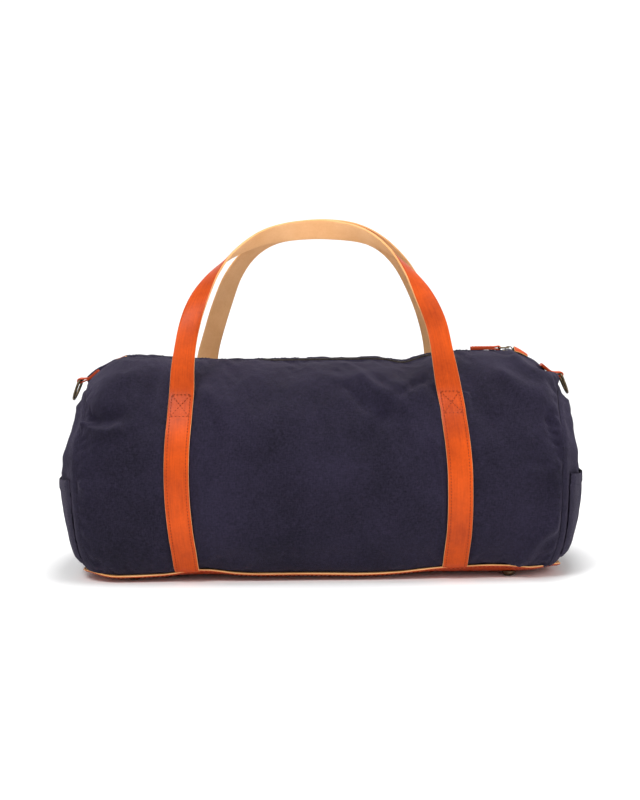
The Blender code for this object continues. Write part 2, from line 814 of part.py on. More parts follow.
def zip_pieces():
    """Tapes and rows of teeth: fixed at both ends of the slot, and on the two lips between."""
    for face, side in (("front", -1), ("rear", 1)):
        pivot = (0.0, side * LIP_HINGE_Y, LIP_HINGE_Z)
        spans = (
            ("mid", -LIP_HALF_LENGTH, LIP_HALF_LENGTH),
            ("left", -CHAIN_HALF_LENGTH, -LIP_HALF_LENGTH - LIP_SIDE_GAP),
            ("right", LIP_HALF_LENGTH + LIP_SIDE_GAP, CHAIN_HALF_LENGTH),
        )
        for where, start, end in spans:
            tape_y = sorted((side * TAPE_SLOT, side * TAPE_HALF_WIDTH))
            teeth_y = sorted((side * TEETH_MIDDLE_GAP, side * TEETH_OUT))
            low = (start, tape_y[0], TAPE_LOW)
            high = (end, tape_y[1], TAPE_HIGH)
            tape = box(f"zip_tape_{face}_{where}", low, high, "zip_tape")
            low = (start, teeth_y[0], TEETH_LOW)
            high = (end, teeth_y[1], TEETH_HIGH)
            teeth = box(f"zip_teeth_{face}_{where}", low, high, "brass", bevel=0.0005)
            if where == "mid":
                hang_on_axis(tape, pivot)
                hang_on_axis(teeth, pivot)


def zip_slider():
    """A plate over the chain with a flange down each side and a bridge for the pull."""
    half = SLIDER_LENGTH / 2
    profile = [
        (-SLIDER_HALF_WIDTH, SLIDER_LOW),
        (-SLIDER_GROOVE, SLIDER_LOW),
        (-SLIDER_GROOVE, SLIDER_PLATE_LOW),
        (SLIDER_GROOVE, SLIDER_PLATE_LOW),
        (SLIDER_GROOVE, SLIDER_LOW),
        (SLIDER_HALF_WIDTH, SLIDER_LOW),
        (SLIDER_HALF_WIDTH, SLIDER_PLATE_HIGH),
        (-SLIDER_HALF_WIDTH, SLIDER_PLATE_HIGH),
    ]
    rings = [[(SLIDER_X + x, y, z) for y, z in profile] for x in (-half, half)]
    slider = loft("zip_slider", rings, "brass")
    points = []
    for u, v in arc((0.0, 0.0), 1.0, math.pi, 0.0, 12):
        rise = BRIDGE_HEIGHT * max(v, 0.0) ** 0.7
        points.append((SLIDER_X + u * BRIDGE_SPAN / 2, 0.0, SLIDER_PLATE_HIGH - 0.0004 + rise))
    bridge = wire("zip_slider_bridge", points, BRIDGE_WIRE, "brass", False, CUTTERS)
    bridge = hide_helper(mesh_of_curve(bridge))
    boolean(slider, bridge, "UNION")


def zip_pull():
    """A wire ring through the bridge, and a leather tab on the ring."""
    far_x = PULL_AXIS_X - PULL_RING_LENGTH
    outline = rounded_rectangle(PULL_RING_LENGTH / 2, PULL_RING_HALF_WIDTH, PULL_RING_CORNER, 4)
    middle = (PULL_AXIS_X + far_x) / 2
    points = [(middle + u, v, PULL_AXIS_Z) for u, v in outline]
    wire("zip_pull_ring", points, PULL_RING_WIRE, "brass", True)
    start = far_x + PULL_PAST_RING
    end = start - PULL_LENGTH
    half = PULL_THICKNESS / 2
    side = arc((start - half, 0.0), half, math.pi / 2, -math.pi / 2, 8)
    side += [(end, -half * PULL_TIP_SHARE), (end, half * PULL_TIP_SHARE)]
    hole = arc((far_x, 0.0), PULL_RING_WIRE + PULL_EYE_GAP, 0.0, 2 * math.pi, 12)[:-1]
    upright = Matrix.Translation((0, 0, PULL_AXIS_Z)) @ Matrix.Rotation(math.pi / 2, 4, "X")
    tab = mesh_of_curve(
        flat_outline("zip_pull_leather", [side, hole], PULL_WIDTH, "leather", upright)
    )
    # The tab is cut narrower at its root, so that it fits between the ring's corners.
    for face, sign in (("front", -1), ("rear", 1)):
        inner, outer = sorted((sign * PULL_NECK_HALF_WIDTH, sign * PULL_WIDTH))
        low = (far_x - PULL_NECK_START, inner, PULL_AXIS_Z - PULL_THICKNESS)
        high = (far_x + PULL_NECK_END, outer, PULL_AXIS_Z + PULL_THICKNESS)
        notch = box(f"pull_notch_{face}", low, high, None)
        BAG.objects.unlink(notch)
        CUTTERS.objects.link(notch)
        boolean(tab, hide_helper(notch), "DIFFERENCE")


def zip_end_tab(name, side):
    """A folded leather triangle that caps one end of the zip."""
    rings = []
    for i in range(5):
        share = i / 4
        x = END_TAB_START + (END_TAB_END - END_TAB_START) * share
        half = END_TAB_HALF_WIDTH * (1 - END_TAB_NARROWING * share)
        bottom = crest(x) + GAP + END_TAB_STAND
        high = bottom + END_TAB_THICKNESS * (1 - END_TAB_THINNING * share)
        edge, flat = high - END_TAB_BEVEL, half - END_TAB_BEVEL_WIDTH
        ring = [(side * x, -half, bottom), (side * x, half, bottom), (side * x, half, edge)]
        ring += [(side * x, flat, high), (side * x, -flat, high), (side * x, -half, edge)]
        rings.append(ring)
    return loft(name, rings, "leather")


# ---------------------------------------------------------------- D-rings


def d_ring(name, side):
    """A straight bar on the axis, with the bow hanging outwards from it."""
    steps = 16
    bar = RING_HALF_WIDTH - RING_BAR_INSET
    flat = [(-bar, 0.0), (bar, 0.0)]
    for i in range(steps + 1):
        angle = math.pi * i / steps
        bow = (RING_DROP - RING_SHOULDER) * math.sin(angle) ** RING_ROUNDNESS
        flat.append((RING_HALF_WIDTH * math.cos(angle), RING_SHOULDER + bow))
    points = []
    for u, down in flat:
        x = RING_AXIS_X + down * math.sin(RING_LEAN)
        points.append((side * x, u, RING_AXIS_Z - down * math.cos(RING_LEAN)))
    ring = mesh_of_curve(wire(name, points, RING_WIRE, "brass", True))
    return hang_on_axis(ring, (side * RING_AXIS_X, 0.0, RING_AXIS_Z))


def d_ring_tab(name, side):
    """A strip of leather sewn to the crest, whose end folds round the D-ring's bar."""
    half = RING_TAB_THICKNESS / 2
    path = [Vector(RING_TAB_START), Vector(RING_TAB_BEND), Vector((RING_AXIS_X, RING_AXIS_Z))]
    last = (path[2] - path[1]).normalized()
    upper, lower = [], []
    for i, point in enumerate(path[:2]):
        along = (path[i + 1] - point).normalized()
        normal = Vector((-along.y, along.x))
        upper.append(tuple(point + normal * half))
        lower.append(tuple(point - normal * half))
    heading = math.atan2(last.y, last.x)
    eye = arc(path[2], RING_TAB_EYE, heading + RING_TAB_WRAP, heading - RING_TAB_WRAP, 14)
    outline = upper + eye + list(reversed(lower))
    bore = arc(path[2], RING_TAB_BORE, 0.0, 2 * math.pi, 16)[:-1]
    loops = [[(side * u, v) for u, v in loop] for loop in (outline, bore)]
    upright = Matrix.Rotation(math.pi / 2, 4, "X")
    return flat_outline(name, loops, RING_TAB_WIDTH, "leather", upright)


def main():
    body_panel("front_panel", -1)
    body_panel("rear_panel", 1)
    mouth_lip("mouth_lip_front", -1)
    mouth_lip("mouth_lip_rear", 1)
    lining()
    base_pieces()
    for where, x, y in foot_places():
        foot(where, x, y)
        washer(where, x, y)
    for end, side in (("left", -1), ("right", 1)):
        end_panel(f"{end}_end_panel", side)
        end_pocket(f"{end}_end_pocket", side)
        strap(f"front_{end}_strap", side * FRONT_STRAP_X, -1)
        strap(f"rear_{end}_strap", side * REAR_STRAP_X, 1)
        zip_end_tab(f"zip_end_tab_{end}", side)
        d_ring(f"d_ring_{end}", side)
        d_ring_tab(f"d_ring_tab_{end}", side)
    front_handle()
    rear_handle()
    zip_pieces()
    zip_slider()
    zip_pull()


main()
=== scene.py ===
import json
import math

import bmesh
import bpy
import numpy as np
from mathutils import Matrix, Vector


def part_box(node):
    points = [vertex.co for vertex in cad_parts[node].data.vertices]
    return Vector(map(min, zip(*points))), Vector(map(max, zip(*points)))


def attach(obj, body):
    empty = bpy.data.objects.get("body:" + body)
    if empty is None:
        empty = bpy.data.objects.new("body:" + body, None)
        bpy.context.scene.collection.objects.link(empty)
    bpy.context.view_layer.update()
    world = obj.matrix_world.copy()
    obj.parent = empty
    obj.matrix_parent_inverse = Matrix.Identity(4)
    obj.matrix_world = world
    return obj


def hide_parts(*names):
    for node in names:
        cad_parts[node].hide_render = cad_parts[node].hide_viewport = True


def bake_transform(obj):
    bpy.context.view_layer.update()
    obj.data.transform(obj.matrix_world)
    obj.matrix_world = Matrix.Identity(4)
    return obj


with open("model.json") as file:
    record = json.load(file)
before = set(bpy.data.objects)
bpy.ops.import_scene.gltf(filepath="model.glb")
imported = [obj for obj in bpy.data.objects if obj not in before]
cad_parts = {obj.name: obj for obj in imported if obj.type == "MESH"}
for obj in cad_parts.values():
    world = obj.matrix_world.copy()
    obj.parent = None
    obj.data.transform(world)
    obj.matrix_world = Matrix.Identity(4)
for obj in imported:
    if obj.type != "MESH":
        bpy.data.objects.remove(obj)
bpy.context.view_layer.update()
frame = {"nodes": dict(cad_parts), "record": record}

MM = 0.001

# ------------------------------------------------------------------ sizes, from the frame
panel_low, panel_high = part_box("front_panel")
end_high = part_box("right_end_panel")[1]
strap_low, strap_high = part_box("front_left_strap")
rear_strap_low, rear_strap_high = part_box("rear_left_strap")
base_low, base_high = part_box("base_leather")
joints = {joint["name"]: joint for joint in frame["record"]["behaviour"]["joints"]}

HALF_LENGTH = panel_high[0]
BELLY_DEPTH = -panel_low[1]
BODY_LOW = panel_low[2]
CREST_TOP = 0.226
BELLY_Z = 0.099
ARCH_POWER = 2.2
END_DROP_START = 0.205
END_DROP = CREST_TOP - end_high[2]
END_DROP_POWER = 1.6
END_BELLY_DEPTH = end_high[1]
END_NARROW_START = 0.150
END_RAKE = 10 * MM
END_SEAM_X = 0.2544
END_BULGE = end_high[0] - END_SEAM_X
DOME_POWER = 2.4
BASE_HALF_LENGTH = base_high[0]
BASE_HALF_DEPTH = 0.100
BASE_CORNER = 28 * MM
SLOT_HALF_WIDTH = 6 * MM
SLOT_HALF_LENGTH = 0.211
SLOT_TAPER = 16 * MM
SHOULDER_Z = 0.1926
CLOTH = 1.5 * MM
STRAP_WIDTH = strap_high[0] - strap_low[0]
STRAP_X = {
    -1: (strap_high[0] + strap_low[0]) / -2,
    1: (rear_strap_high[0] + rear_strap_low[0]) / -2,
}
STRAP_THICK = 2.6 * MM
HANDLE_HINGE_Y = joints["rear_handle_hinge"]["pos_m"][1]
LIP_X = 0.2105
MIDDLE = Vector((0.0, 0.0, 0.11))
FACES = {-1: "front", 1: "rear"}
ENDS = {-1: "left", 1: "right"}


# ------------------------------------------------------------------ small mathematics
def smooth(t):
    t = np.clip(t, 0.0, 1.0)
    return t * t * (3 - 2 * t)


def bell(x, middle, width):
    return np.exp(-(((x - middle) / width) ** 2))


def unit(vectors):
    """Each vector at length one."""
    vectors = np.asarray(vectors, float)
    return vectors / np.maximum(np.linalg.norm(vectors, axis=-1, keepdims=True), 1e-12)


def run_length(points):
    """How far along a polyline each of its points is."""
    steps = np.linalg.norm(np.diff(points, axis=0), axis=1)
    return np.concatenate([[0], np.cumsum(steps)])


def at_length(s, run, values):
    return np.array([np.interp(s, run, column) for column in np.transpose(values)])


# ------------------------------------------------------------------ materials
def new_material(name):
    material = bpy.data.materials.new(name)
    material.use_nodes = True
    tree = material.node_tree
    return material, tree, tree.nodes["Principled BSDF"]


def node(tree, kind, **values):
    made = tree.nodes.new(kind)
    for key, value in values.items():
        if key in made.inputs:
            made.inputs[key].default_value = value
        else:
            setattr(made, key, value)
    return made


def ramp_node(tree, stops):
    made = tree.nodes.new("ShaderNodeValToRGB")
    elements = made.color_ramp.elements
    while len(elements) < len(stops):
        elements.new(0.5)
    for element, (place, colour) in zip(elements, stops):
        element.position = place
        element.color = (*colour, 1.0)
    return made


def bump_chain(tree, shader, layers):
    """Stacks bumps: each layer is (height socket, strength, distance)."""
    last = None
    for height, strength, distance in layers:
        bump = node(tree, "ShaderNodeBump", Strength=strength, Distance=distance)
        tree.links.new(height, bump.inputs["Height"])
        if last:
            tree.links.new(last.outputs["Normal"], bump.inputs["Normal"])
        last = bump
    tree.links.new(last.outputs["Normal"], shader.inputs["Normal"])


def maths(tree, operation, a, b=None):
    made = node(tree, "ShaderNodeMath", operation=operation)
    for socket, value in zip(made.inputs, (a, b)):
        if isinstance(value, (int, float)):
            socket.default_value = value
        elif value is not None:
            tree.links.new(value, socket)
    return made.outputs[0]


def weighted(tree, *parts):
    """The sum of sockets, each times its weight."""
    total = None
    for socket, weight in parts:
        share = maths(tree, "MULTIPLY", socket, weight)
        total = maths(tree, "ADD", total, share) if total else share
    return total


def colour_by(tree, shader, factor, dark, light):
    """Base colour between two (place, colour) stops of a factor."""
    colours = ramp_node(tree, [dark, light])
    tree.links.new(factor, colours.inputs[0])
    tree.links.new(colours.outputs[0], shader.inputs["Base Color"])


def roughness_by(tree, shader, factor, low, high):
    rough = node(tree, "ShaderNodeMapRange")
    rough.inputs["To Min"].default_value = low
    rough.inputs["To Max"].default_value = high
    tree.links.new(factor, rough.inputs["Value"])
    tree.links.new(rough.outputs[0], shader.inputs["Roughness"])


def tune(shader, **values):
    """Sets the shader's own sockets, named with _ for each space."""
    for key, value in values.items():
        shader.inputs[key.replace("_", " ")].default_value = value


def stretched_noise(tree, vector, stretch, scale):
    mapping = node(tree, "ShaderNodeMapping", Scale=(*stretch, 1.0))
    tree.links.new(vector, mapping.inputs["Vector"])
    return noise(tree, mapping.outputs["Vector"], scale, 3.0)


def noise(tree, vector, scale, detail=4.0, roughness=0.55):
    made = node(tree, "ShaderNodeTexNoise", Scale=scale, Detail=detail, Roughness=roughness)
    tree.links.new(vector, made.inputs["Vector"])
    return made.outputs["Fac"]


def weave_height(tree, vector, pitch):
    """Plain weave: threads along the map's two axes that pass over each other in turn."""
    split = tree.nodes.new("ShaderNodeSeparateXYZ")
    tree.links.new(vector, split.inputs[0])
    turns = 2 * math.pi / pitch
    along = maths(tree, "SINE", maths(tree, "MULTIPLY", split.outputs[0], turns))
    across = maths(tree, "SINE", maths(tree, "MULTIPLY", split.outputs[1], turns))
    return maths(tree, "MULTIPLY", along, across)


def cloth_material(name, dark, light, pitch, weave_distance, roughness, sheen):
    """Woven cotton: a plain weave in the cloth's own map, slubs, fading and pale wear."""
    material, tree, shader = new_material(name)
    cloth_map = node(tree, "ShaderNodeUVMap", uv_map="cloth").outputs["UV"]
    space = tree.nodes.new("ShaderNodeTexCoord").outputs["Object"]
    weave = weave_height(tree, cloth_map, pitch)
    slubs = [stretched_noise(tree, cloth_map, way, 1.0) for way in ((180, 900), (900, 180))]
    both = maths(tree, "MULTIPLY", maths(tree, "ADD", *slubs), 0.5)
    fade = noise(tree, space, 14.0, 5.0)
    speckle = noise(tree, space, 460.0, 3.0, 0.7)
    mix = weighted(tree, (both, 0.40), (fade, 0.28), (speckle, 0.32))
    colour_by(tree, shader, mix, (0.40, dark), (0.62, light))
    tune(shader, Roughness=roughness, Specular_IOR_Level=0.18, Sheen_Weight=sheen)
    tune(shader, Sheen_Roughness=0.45, Sheen_Tint=(0.62, 0.52, 0.80, 1.0))
    large, small = noise(tree, space, 20.0, 3.0), noise(tree, space, 60.0, 4.0)
    layers = [(large, 0.5, 4.0 * MM), (small, 0.5, 1.4 * MM)]
    layers += [(both, 0.5, 0.25 * MM), (weave, 0.6, weave_distance)]
    bump_chain(tree, shader, layers)
    return material


def leather_material(name, dark, light, roughness, grain_scale, coat, bump=0.5, streak=0.25):
    """Leather: a fine cell grain, slow colour variation, hair-fine streaks and scuffs."""
    material, tree, shader = new_material(name)
    space = tree.nodes.new("ShaderNodeTexCoord").outputs["Object"]
    strap_map = node(tree, "ShaderNodeUVMap", uv_map="cloth").outputs["UV"]
    cells = node(tree, "ShaderNodeTexVoronoi", Scale=grain_scale)
    tree.links.new(space, cells.inputs["Vector"])
    slow = noise(tree, space, 22.0, 5.0)
    fine = noise(tree, space, 420.0, 3.0)
    streaks = stretched_noise(tree, strap_map, (30, 700), 1.0)
    mix = weighted(tree, (slow, 0.6), (fine, 0.15), (streaks, streak))
    colour_by(tree, shader, mix, (0.30, dark), (0.70, light))
    roughness_by(tree, shader, slow, roughness - 0.08, roughness + 0.12)
    tune(shader, Specular_IOR_Level=0.16, Coat_Weight=coat, Coat_Roughness=0.35)
    layers = [(slow, 0.3, 0.8 * MM), (cells.outputs["Distance"], bump, 0.12 * MM)]
    bump_chain(tree, shader, [*layers, (fine, 0.35, 0.10 * MM)])
    return material


def metal_material(name, dark, light, roughness):
    material, tree, shader = new_material(name)
    space = tree.nodes.new("ShaderNodeTexCoord").outputs["Object"]
    tarnish = noise(tree, space, 260.0, 5.0, 0.65)
    colour_by(tree, shader, tarnish, (0.35, dark), (0.70, light))
    roughness_by(tree, shader, tarnish, roughness - 0.10, roughness + 0.18)
    tune(shader, Metallic=1.0)
    bump_chain(tree, shader, [(noise(tree, space, 700.0, 3.0), 0.25, 0.05 * MM)])
    return material


CANVAS = cloth_material(
    "navy_canvas", (0.0046, 0.0036, 0.0100), (0.0218, 0.0170, 0.0380), 1.15 * MM, 0.22 * MM, 0.92, 0.10
)
LINING = cloth_material(
    "cotton_lining", (0.30, 0.25, 0.18), (0.48, 0.41, 0.31), 0.8 * MM, 0.05 * MM, 0.92, 0.05
)
TAPE = cloth_material(
    "zip_tape", (0.006, 0.006, 0.010), (0.018, 0.016, 0.024), 0.9 * MM, 0.10 * MM, 0.85, 0.1
)
THREAD = cloth_material(
    "orange_thread", (0.16, 0.022, 0.004), (0.28, 0.040, 0.008), 0.5 * MM, 0.05 * MM, 0.7, 0.0
)
NAVY_THREAD = cloth_material(
    "navy_thread", (0.014, 0.012, 0.024), (0.035, 0.031, 0.055), 0.5 * MM, 0.05 * MM, 0.8, 0.1
)
BOARD = cloth_material(
    "fibre_board", (0.06, 0.05, 0.04), (0.10, 0.085, 0.07), 2.5 * MM, 0.02 * MM, 0.8, 0.0
)
GRAIN = leather_material(
    "leather_grain", (0.27, 0.027, 0.001), (0.68, 0.084, 0.002), 0.42, 900.0, 0.05
)
FLESH = leather_material(
    "leather_flesh", (0.76, 0.38, 0.16), (0.96, 0.58, 0.31), 0.88, 1400.0, 0.0, 0.8, 0.1
)
EDGE = leather_material("leather_edge", (0.66, 0.28, 0.09), (0.88, 0.50, 0.23), 0.62, 700.0, 0.0)
BASE_GRAIN = leather_material(
    "base_leather_grain", (0.30, 0.028, 0.004), (0.52, 0.060, 0.008), 0.45, 800.0, 0.1
)
BRASS = metal_material("antique_brass", (0.055, 0.040, 0.026), (0.20, 0.145, 0.085), 0.36)
TEETH = metal_material("zip_teeth_metal", (0.035, 0.030, 0.028), (0.12, 0.10, 0.085), 0.40)


# ------------------------------------------------------------------ mesh helpers
def make_mesh(name, verts, faces, materials, face_material=None, uvs=None, normals=None):
    mesh = bpy.data.meshes.new(name)
    mesh.from_pydata([tuple(v) for v in verts], [], [tuple(f) for f in faces])
    if uvs is not None:
        layer = mesh.uv_layers.new(name="cloth")
        corner = np.empty(len(mesh.loops), np.int32)
        mesh.loops.foreach_get("vertex_index", corner)
        layer.data.foreach_set("uv", np.asarray(uvs, np.float32)[corner].ravel())
    for material in materials:
        mesh.materials.append(material)
    if face_material is not None:
        mesh.polygons.foreach_set("material_index", np.asarray(face_material, np.int32))
    mesh.polygons.foreach_set("use_smooth", np.ones(len(mesh.polygons), bool))
    mesh.update()
    if normals is not None:
        mesh.normals_split_custom_set_from_vertices([tuple(n) for n in normals])
    obj = bpy.data.objects.new(name, mesh)
    bpy.context.scene.collection.objects.link(obj)
    return obj


def finish_piece(obj, body, replaced=()):
    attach(obj, body)
    if replaced:
        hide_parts(*replaced)


def tube_faces(rings, around, base=0, outward=True):
    """Quads between rings of points, then a face over each end."""
    faces = []
    for i in range(rings - 1):
        near, far = base + i * around, base + (i + 1) * around
        for k in range(around):
            following = (k + 1) % around
            quad = (near + k, near + following, far + following, far + k)
            faces.append(quad if outward else (quad[0], *quad[:0:-1]))
    last = base + (rings - 1) * around
    caps = [tuple(range(base, base + around))[::-1], tuple(range(last, last + around))]
    return faces + (caps if outward else [cap[::-1] for cap in caps])


def plain_mesh(name, verts, faces, material, sharp=None):
    """A mesh of one material, mapped from above."""
    verts = np.array(verts)
    obj = make_mesh(name, verts, faces, [material], uvs=verts[:, :2])
    if sharp:
        obj.data.set_sharp_from_angle(angle=math.radians(sharp))
    return obj


def every_cell(points):
    return np.ones((points.shape[0] - 1, points.shape[1] - 1), bool)


def grid_normals(points):
    """Unit normals of a grid, on the side that faces away from the bag's middle."""
    normal = np.cross(np.gradient(points, axis=0), np.gradient(points, axis=1))
    if np.sum(normal * (points - np.array(MIDDLE))) < 0:
        normal = -normal
    return unit(normal)


def finer(values):
    """A grid of twice the cells each way, through the same points on smooth curves."""
    for axis in (0, 1):
        values = np.moveaxis(values, axis, 0)
        ahead = np.concatenate([values[1:], 2 * values[-1:] - values[-2:-1]])
        before = np.concatenate([2 * values[:1] - values[1:2], values[:-1]])
        middle = (9 * (values[:-1] + values[1:]) - before[:-1] - ahead[1:]) / 16
        made = np.empty((2 * len(values) - 1, *values.shape[1:]))
        made[0::2] = values
        made[1::2] = middle
        values = np.moveaxis(made, 0, axis)
    return values


def wavy(points, seed, size, detail=3):
    """Smooth deterministic noise, about -1 to 1: sums of sines in random directions."""
    random = np.random.RandomState(seed)
    total = np.zeros(points.shape[:-1])
    sines = 6
    for octave in range(detail):
        for _ in range(sines):
            direction = random.normal(size=3)
            direction /= np.linalg.norm(direction)
            phase = random.uniform(0, 2 * math.pi)
            turns = 2 * math.pi / size * 2**octave * random.uniform(0.7, 1.3)
            total += np.sin(points @ direction * turns + phase) * 0.5**octave
    weight = sines * sum(0.5**octave for octave in range(detail))
    return total / weight * 2.0


def cloth_patch(name, points, normals, uvs, cells, materials, thickness=CLOTH):
    """A double-sided patch of cloth from the chosen cells of a grid, with rims on its borders."""
    used = np.zeros(points.shape[:2], bool)
    for near in (slice(None, -1), slice(1, None)):
        for far in (slice(None, -1), slice(1, None)):
            used[near, far] |= cells
    count = used.sum()
    index = np.full(used.shape, -1)
    index[used] = np.arange(count)
    outer, outward, flat = points[used], normals[used], uvs[used]
    verts = np.concatenate([outer, outer - outward * thickness])
    i, j = np.argwhere(cells).T
    top = np.stack([index[i, j], index[i + 1, j], index[i + 1, j + 1], index[i, j + 1]], 1)
    turned_over = np.cross(points[1:, :-1] - points[:-1, :-1], points[:-1, 1:] - points[:-1, :-1])
    if np.sum(turned_over * normals[:-1, :-1]) < 0:
        top = top[:, ::-1]
    ends = np.concatenate([top[:, [k, (k + 1) % 4]] for k in range(4)])
    keys = np.sort(ends, axis=1)
    _, first, times = np.unique(keys, axis=0, return_index=True, return_counts=True)
    start, stop = ends[first[times == 1]].T
    rims = np.stack([stop, start, start + count, stop + count], 1)
    faces = np.concatenate([top, top[:, ::-1] + count, rims])
    shading = np.concatenate([outward, -outward])
    zones = np.repeat([0, 2, 1], [len(top), len(top), len(rims)]) % len(materials)
    return make_mesh(name, verts, faces, materials, zones, np.concatenate([flat, flat]), shading)


def simulate(points, held, seed):
    """Lets a sheet of cloth a little too large for its frame settle, and returns its points."""
    frames, most_out, most_in = 20, 6 * MM, 2 * MM
    start = points.reshape(-1, 3)
    nudge = wavy(points, seed, 0.07).reshape(-1, 1) * 0.4 * MM * (1 - held).reshape(-1, 1)
    outward = grid_normals(points).reshape(-1, 3)
    index = np.arange(held.size).reshape(held.shape)
    corners = [index[:-1, :-1], index[1:, :-1], index[1:, 1:], index[:-1, 1:]]
    quads = np.stack(corners, axis=-1).reshape(-1, 4)
    obj = make_mesh("settling_cloth", start + outward * nudge, quads, [])
    group = obj.vertex_groups.new(name="held")
    group.add([int(k) for k in np.flatnonzero(held.ravel())], 1.0, "REPLACE")
    modifier = obj.modifiers.new("cloth", "CLOTH")
    settings = modifier.settings
    settings.quality = 6
    settings.mass = 0.3
    settings.tension_stiffness = settings.compression_stiffness = 25
    settings.shear_stiffness = 8
    settings.bending_stiffness = 1.2
    settings.air_damping = 2.0
    settings.use_pressure = True
    settings.uniform_pressure_force = 4.0
    settings.shrink_min = -0.012
    settings.vertex_group_mass = "held"
    settings.effector_weights.gravity = 0.0
    modifier.collision_settings.use_collision = False
    modifier.point_cache.frame_start = 1
    modifier.point_cache.frame_end = frames
    scene = bpy.context.scene
    for number in range(1, frames + 1):
        scene.frame_set(number)
    settled = obj.evaluated_get(bpy.context.evaluated_depsgraph_get()).to_mesh()
    found = np.empty(len(settled.vertices) * 3)
    settled.vertices.foreach_get("co", found)
    bpy.data.objects.remove(obj, do_unlink=True)
    scene.frame_set(1)
    moved = found.reshape(-1, 3) - start
    raised = np.sum(moved * outward, axis=1, keepdims=True)
    aside = moved - raised * outward
    most = np.where(raised > 0, most_out, most_in)
    raised = most * np.tanh(raised / most)
    return (start + raised * outward + 0.5 * aside).reshape(points.shape)


# ------------------------------------------------------------------ body surface
def crest(x):
    drop = np.clip((np.abs(x) - END_DROP_START) / (HALF_LENGTH - END_DROP_START), 0, 1)
    return CREST_TOP - END_DROP * drop**END_DROP_POWER


def belly(x):
    narrowing = smooth((np.abs(x) - END_NARROW_START) / (HALF_LENGTH - END_NARROW_START))
    return BELLY_DEPTH - (BELLY_DEPTH - END_BELLY_DEPTH) * narrowing


def foot_line(x):
    past = np.maximum(np.abs(x) - (BASE_HALF_LENGTH - BASE_CORNER), 0.0)
    return BASE_HALF_DEPTH - 0.16 * past


def slot_edge(x):
    closed = np.clip((np.abs(x) - SLOT_HALF_LENGTH) / SLOT_TAPER, 0, 1)
    return 0.0002 + (SLOT_HALF_WIDTH - 0.0002) * (1 - closed)


def raked_x(x, y):
    reach = smooth((np.abs(x) - END_NARROW_START) / (HALF_LENGTH - END_NARROW_START))
    return x - np.sign(x) * END_RAKE * reach * (y / BELLY_DEPTH) ** 2


def arch_angle(x, depth):
    return np.arccos(np.minimum((depth / belly(x)) ** (ARCH_POWER / 2), 1.0))


def lower_point(x, angle):
    low, wide = foot_line(x), belly(x)
    return low + (wide - low) * np.sin(angle), BELLY_Z - (BELLY_Z - BODY_LOW) * np.cos(angle)


def arch_point(x, angle):
    depth = belly(x) * np.maximum(np.cos(angle), 0) ** (2 / ARCH_POWER)
    rise = np.maximum(np.sin(angle), 0) ** (2 / ARCH_POWER)
    return depth, BELLY_Z + (crest(x) - BELLY_Z) * rise


def upper_depth(x, z):
    up = np.clip((z - BELLY_Z) / (crest(x) - BELLY_Z), 0, 1)
    return belly(x) * (1 - up**ARCH_POWER) ** (1 / ARCH_POWER)


def lower_depth(x, z):
    down = np.clip((BELLY_Z - z) / (BELLY_Z - BODY_LOW), 0, 1)
    low, wide = foot_line(x), belly(x)
    return low + (wide - low) * np.sqrt(np.maximum(1 - down * down, 0))


def side_depth(x, z):
    return upper_depth(x, z) if z > BELLY_Z else lower_depth(x, z)


def crest_sag(x):
    """How far the crest has dropped between the handles, deepest in a dip by the right strap."""
    plateau = smooth((x + 0.185) / 0.090) * smooth((0.135 - x) / 0.045)
    return -4.6 * MM * plateau - 4.2 * MM * bell(x, 0.089, 0.015) + 1.5 * MM * bell(x, 0.160, 0.03)


def rim_lift(x, side):
    """How far the base's long edge has curled up from level."""
    if side > 0:
        return 1.5 * MM * np.sin(x * 21.0 + 0.6)
    lift = 5.0 * bell(x, -0.120, 0.028) + 6.5 * bell(x, 0.175, 0.050) + 2.5 * bell(x, 0.120, 0.03)
    return (lift - 1.2 * bell(x, -0.215, 0.035) - 1.0 * bell(x, 0.045, 0.035)) * MM


def settle(points):
    """Moves points of the neat body to where the worn cloth has sagged, curled and drawn in."""
    points = np.array(points, float)
    x, y, z = points[..., 0].copy(), points[..., 1].copy(), points[..., 2].copy()
    near_end = smooth((np.abs(x) - 0.165) / 0.085)
    low = np.exp(-np.maximum(z - BODY_LOW, 0) / (22 * MM))
    corner = np.clip(np.abs(y) / BASE_HALF_DEPTH, 0, 1.1) ** 2
    drawn = near_end * low * (4 + 13 * corner) * MM
    high = smooth((z - 0.120) / 0.060) * near_end
    drawn = drawn + high * np.where(x < 0, 6.5, 1.0) * MM * corner
    dent = np.where(x < 0, 16.0, 9.0) * MM * bell(z, 0.158, 0.029) * np.clip(1 - corner, 0, 1)
    points[..., 0] = x - np.sign(x) * (drawn + near_end * dent)
    raised = smooth((z - SHOULDER_Z) / (CREST_TOP - SHOULDER_Z))
    beside_zip = smooth((-y - 3 * MM) / (5 * MM)) * smooth((x + 0.075) / 0.03)
    slack = -3.0 * MM * beside_zip * smooth((0.135 - x) / 0.02)
    curled = (1 - smooth((z - BODY_LOW) / 0.045)) * smooth(np.abs(y) / 0.085)
    lift = np.where(y < 0, rim_lift(x, -1), rim_lift(x, 1))
    points[..., 2] = z + (crest_sag(x) + slack) * raised + lift * curled
    return points


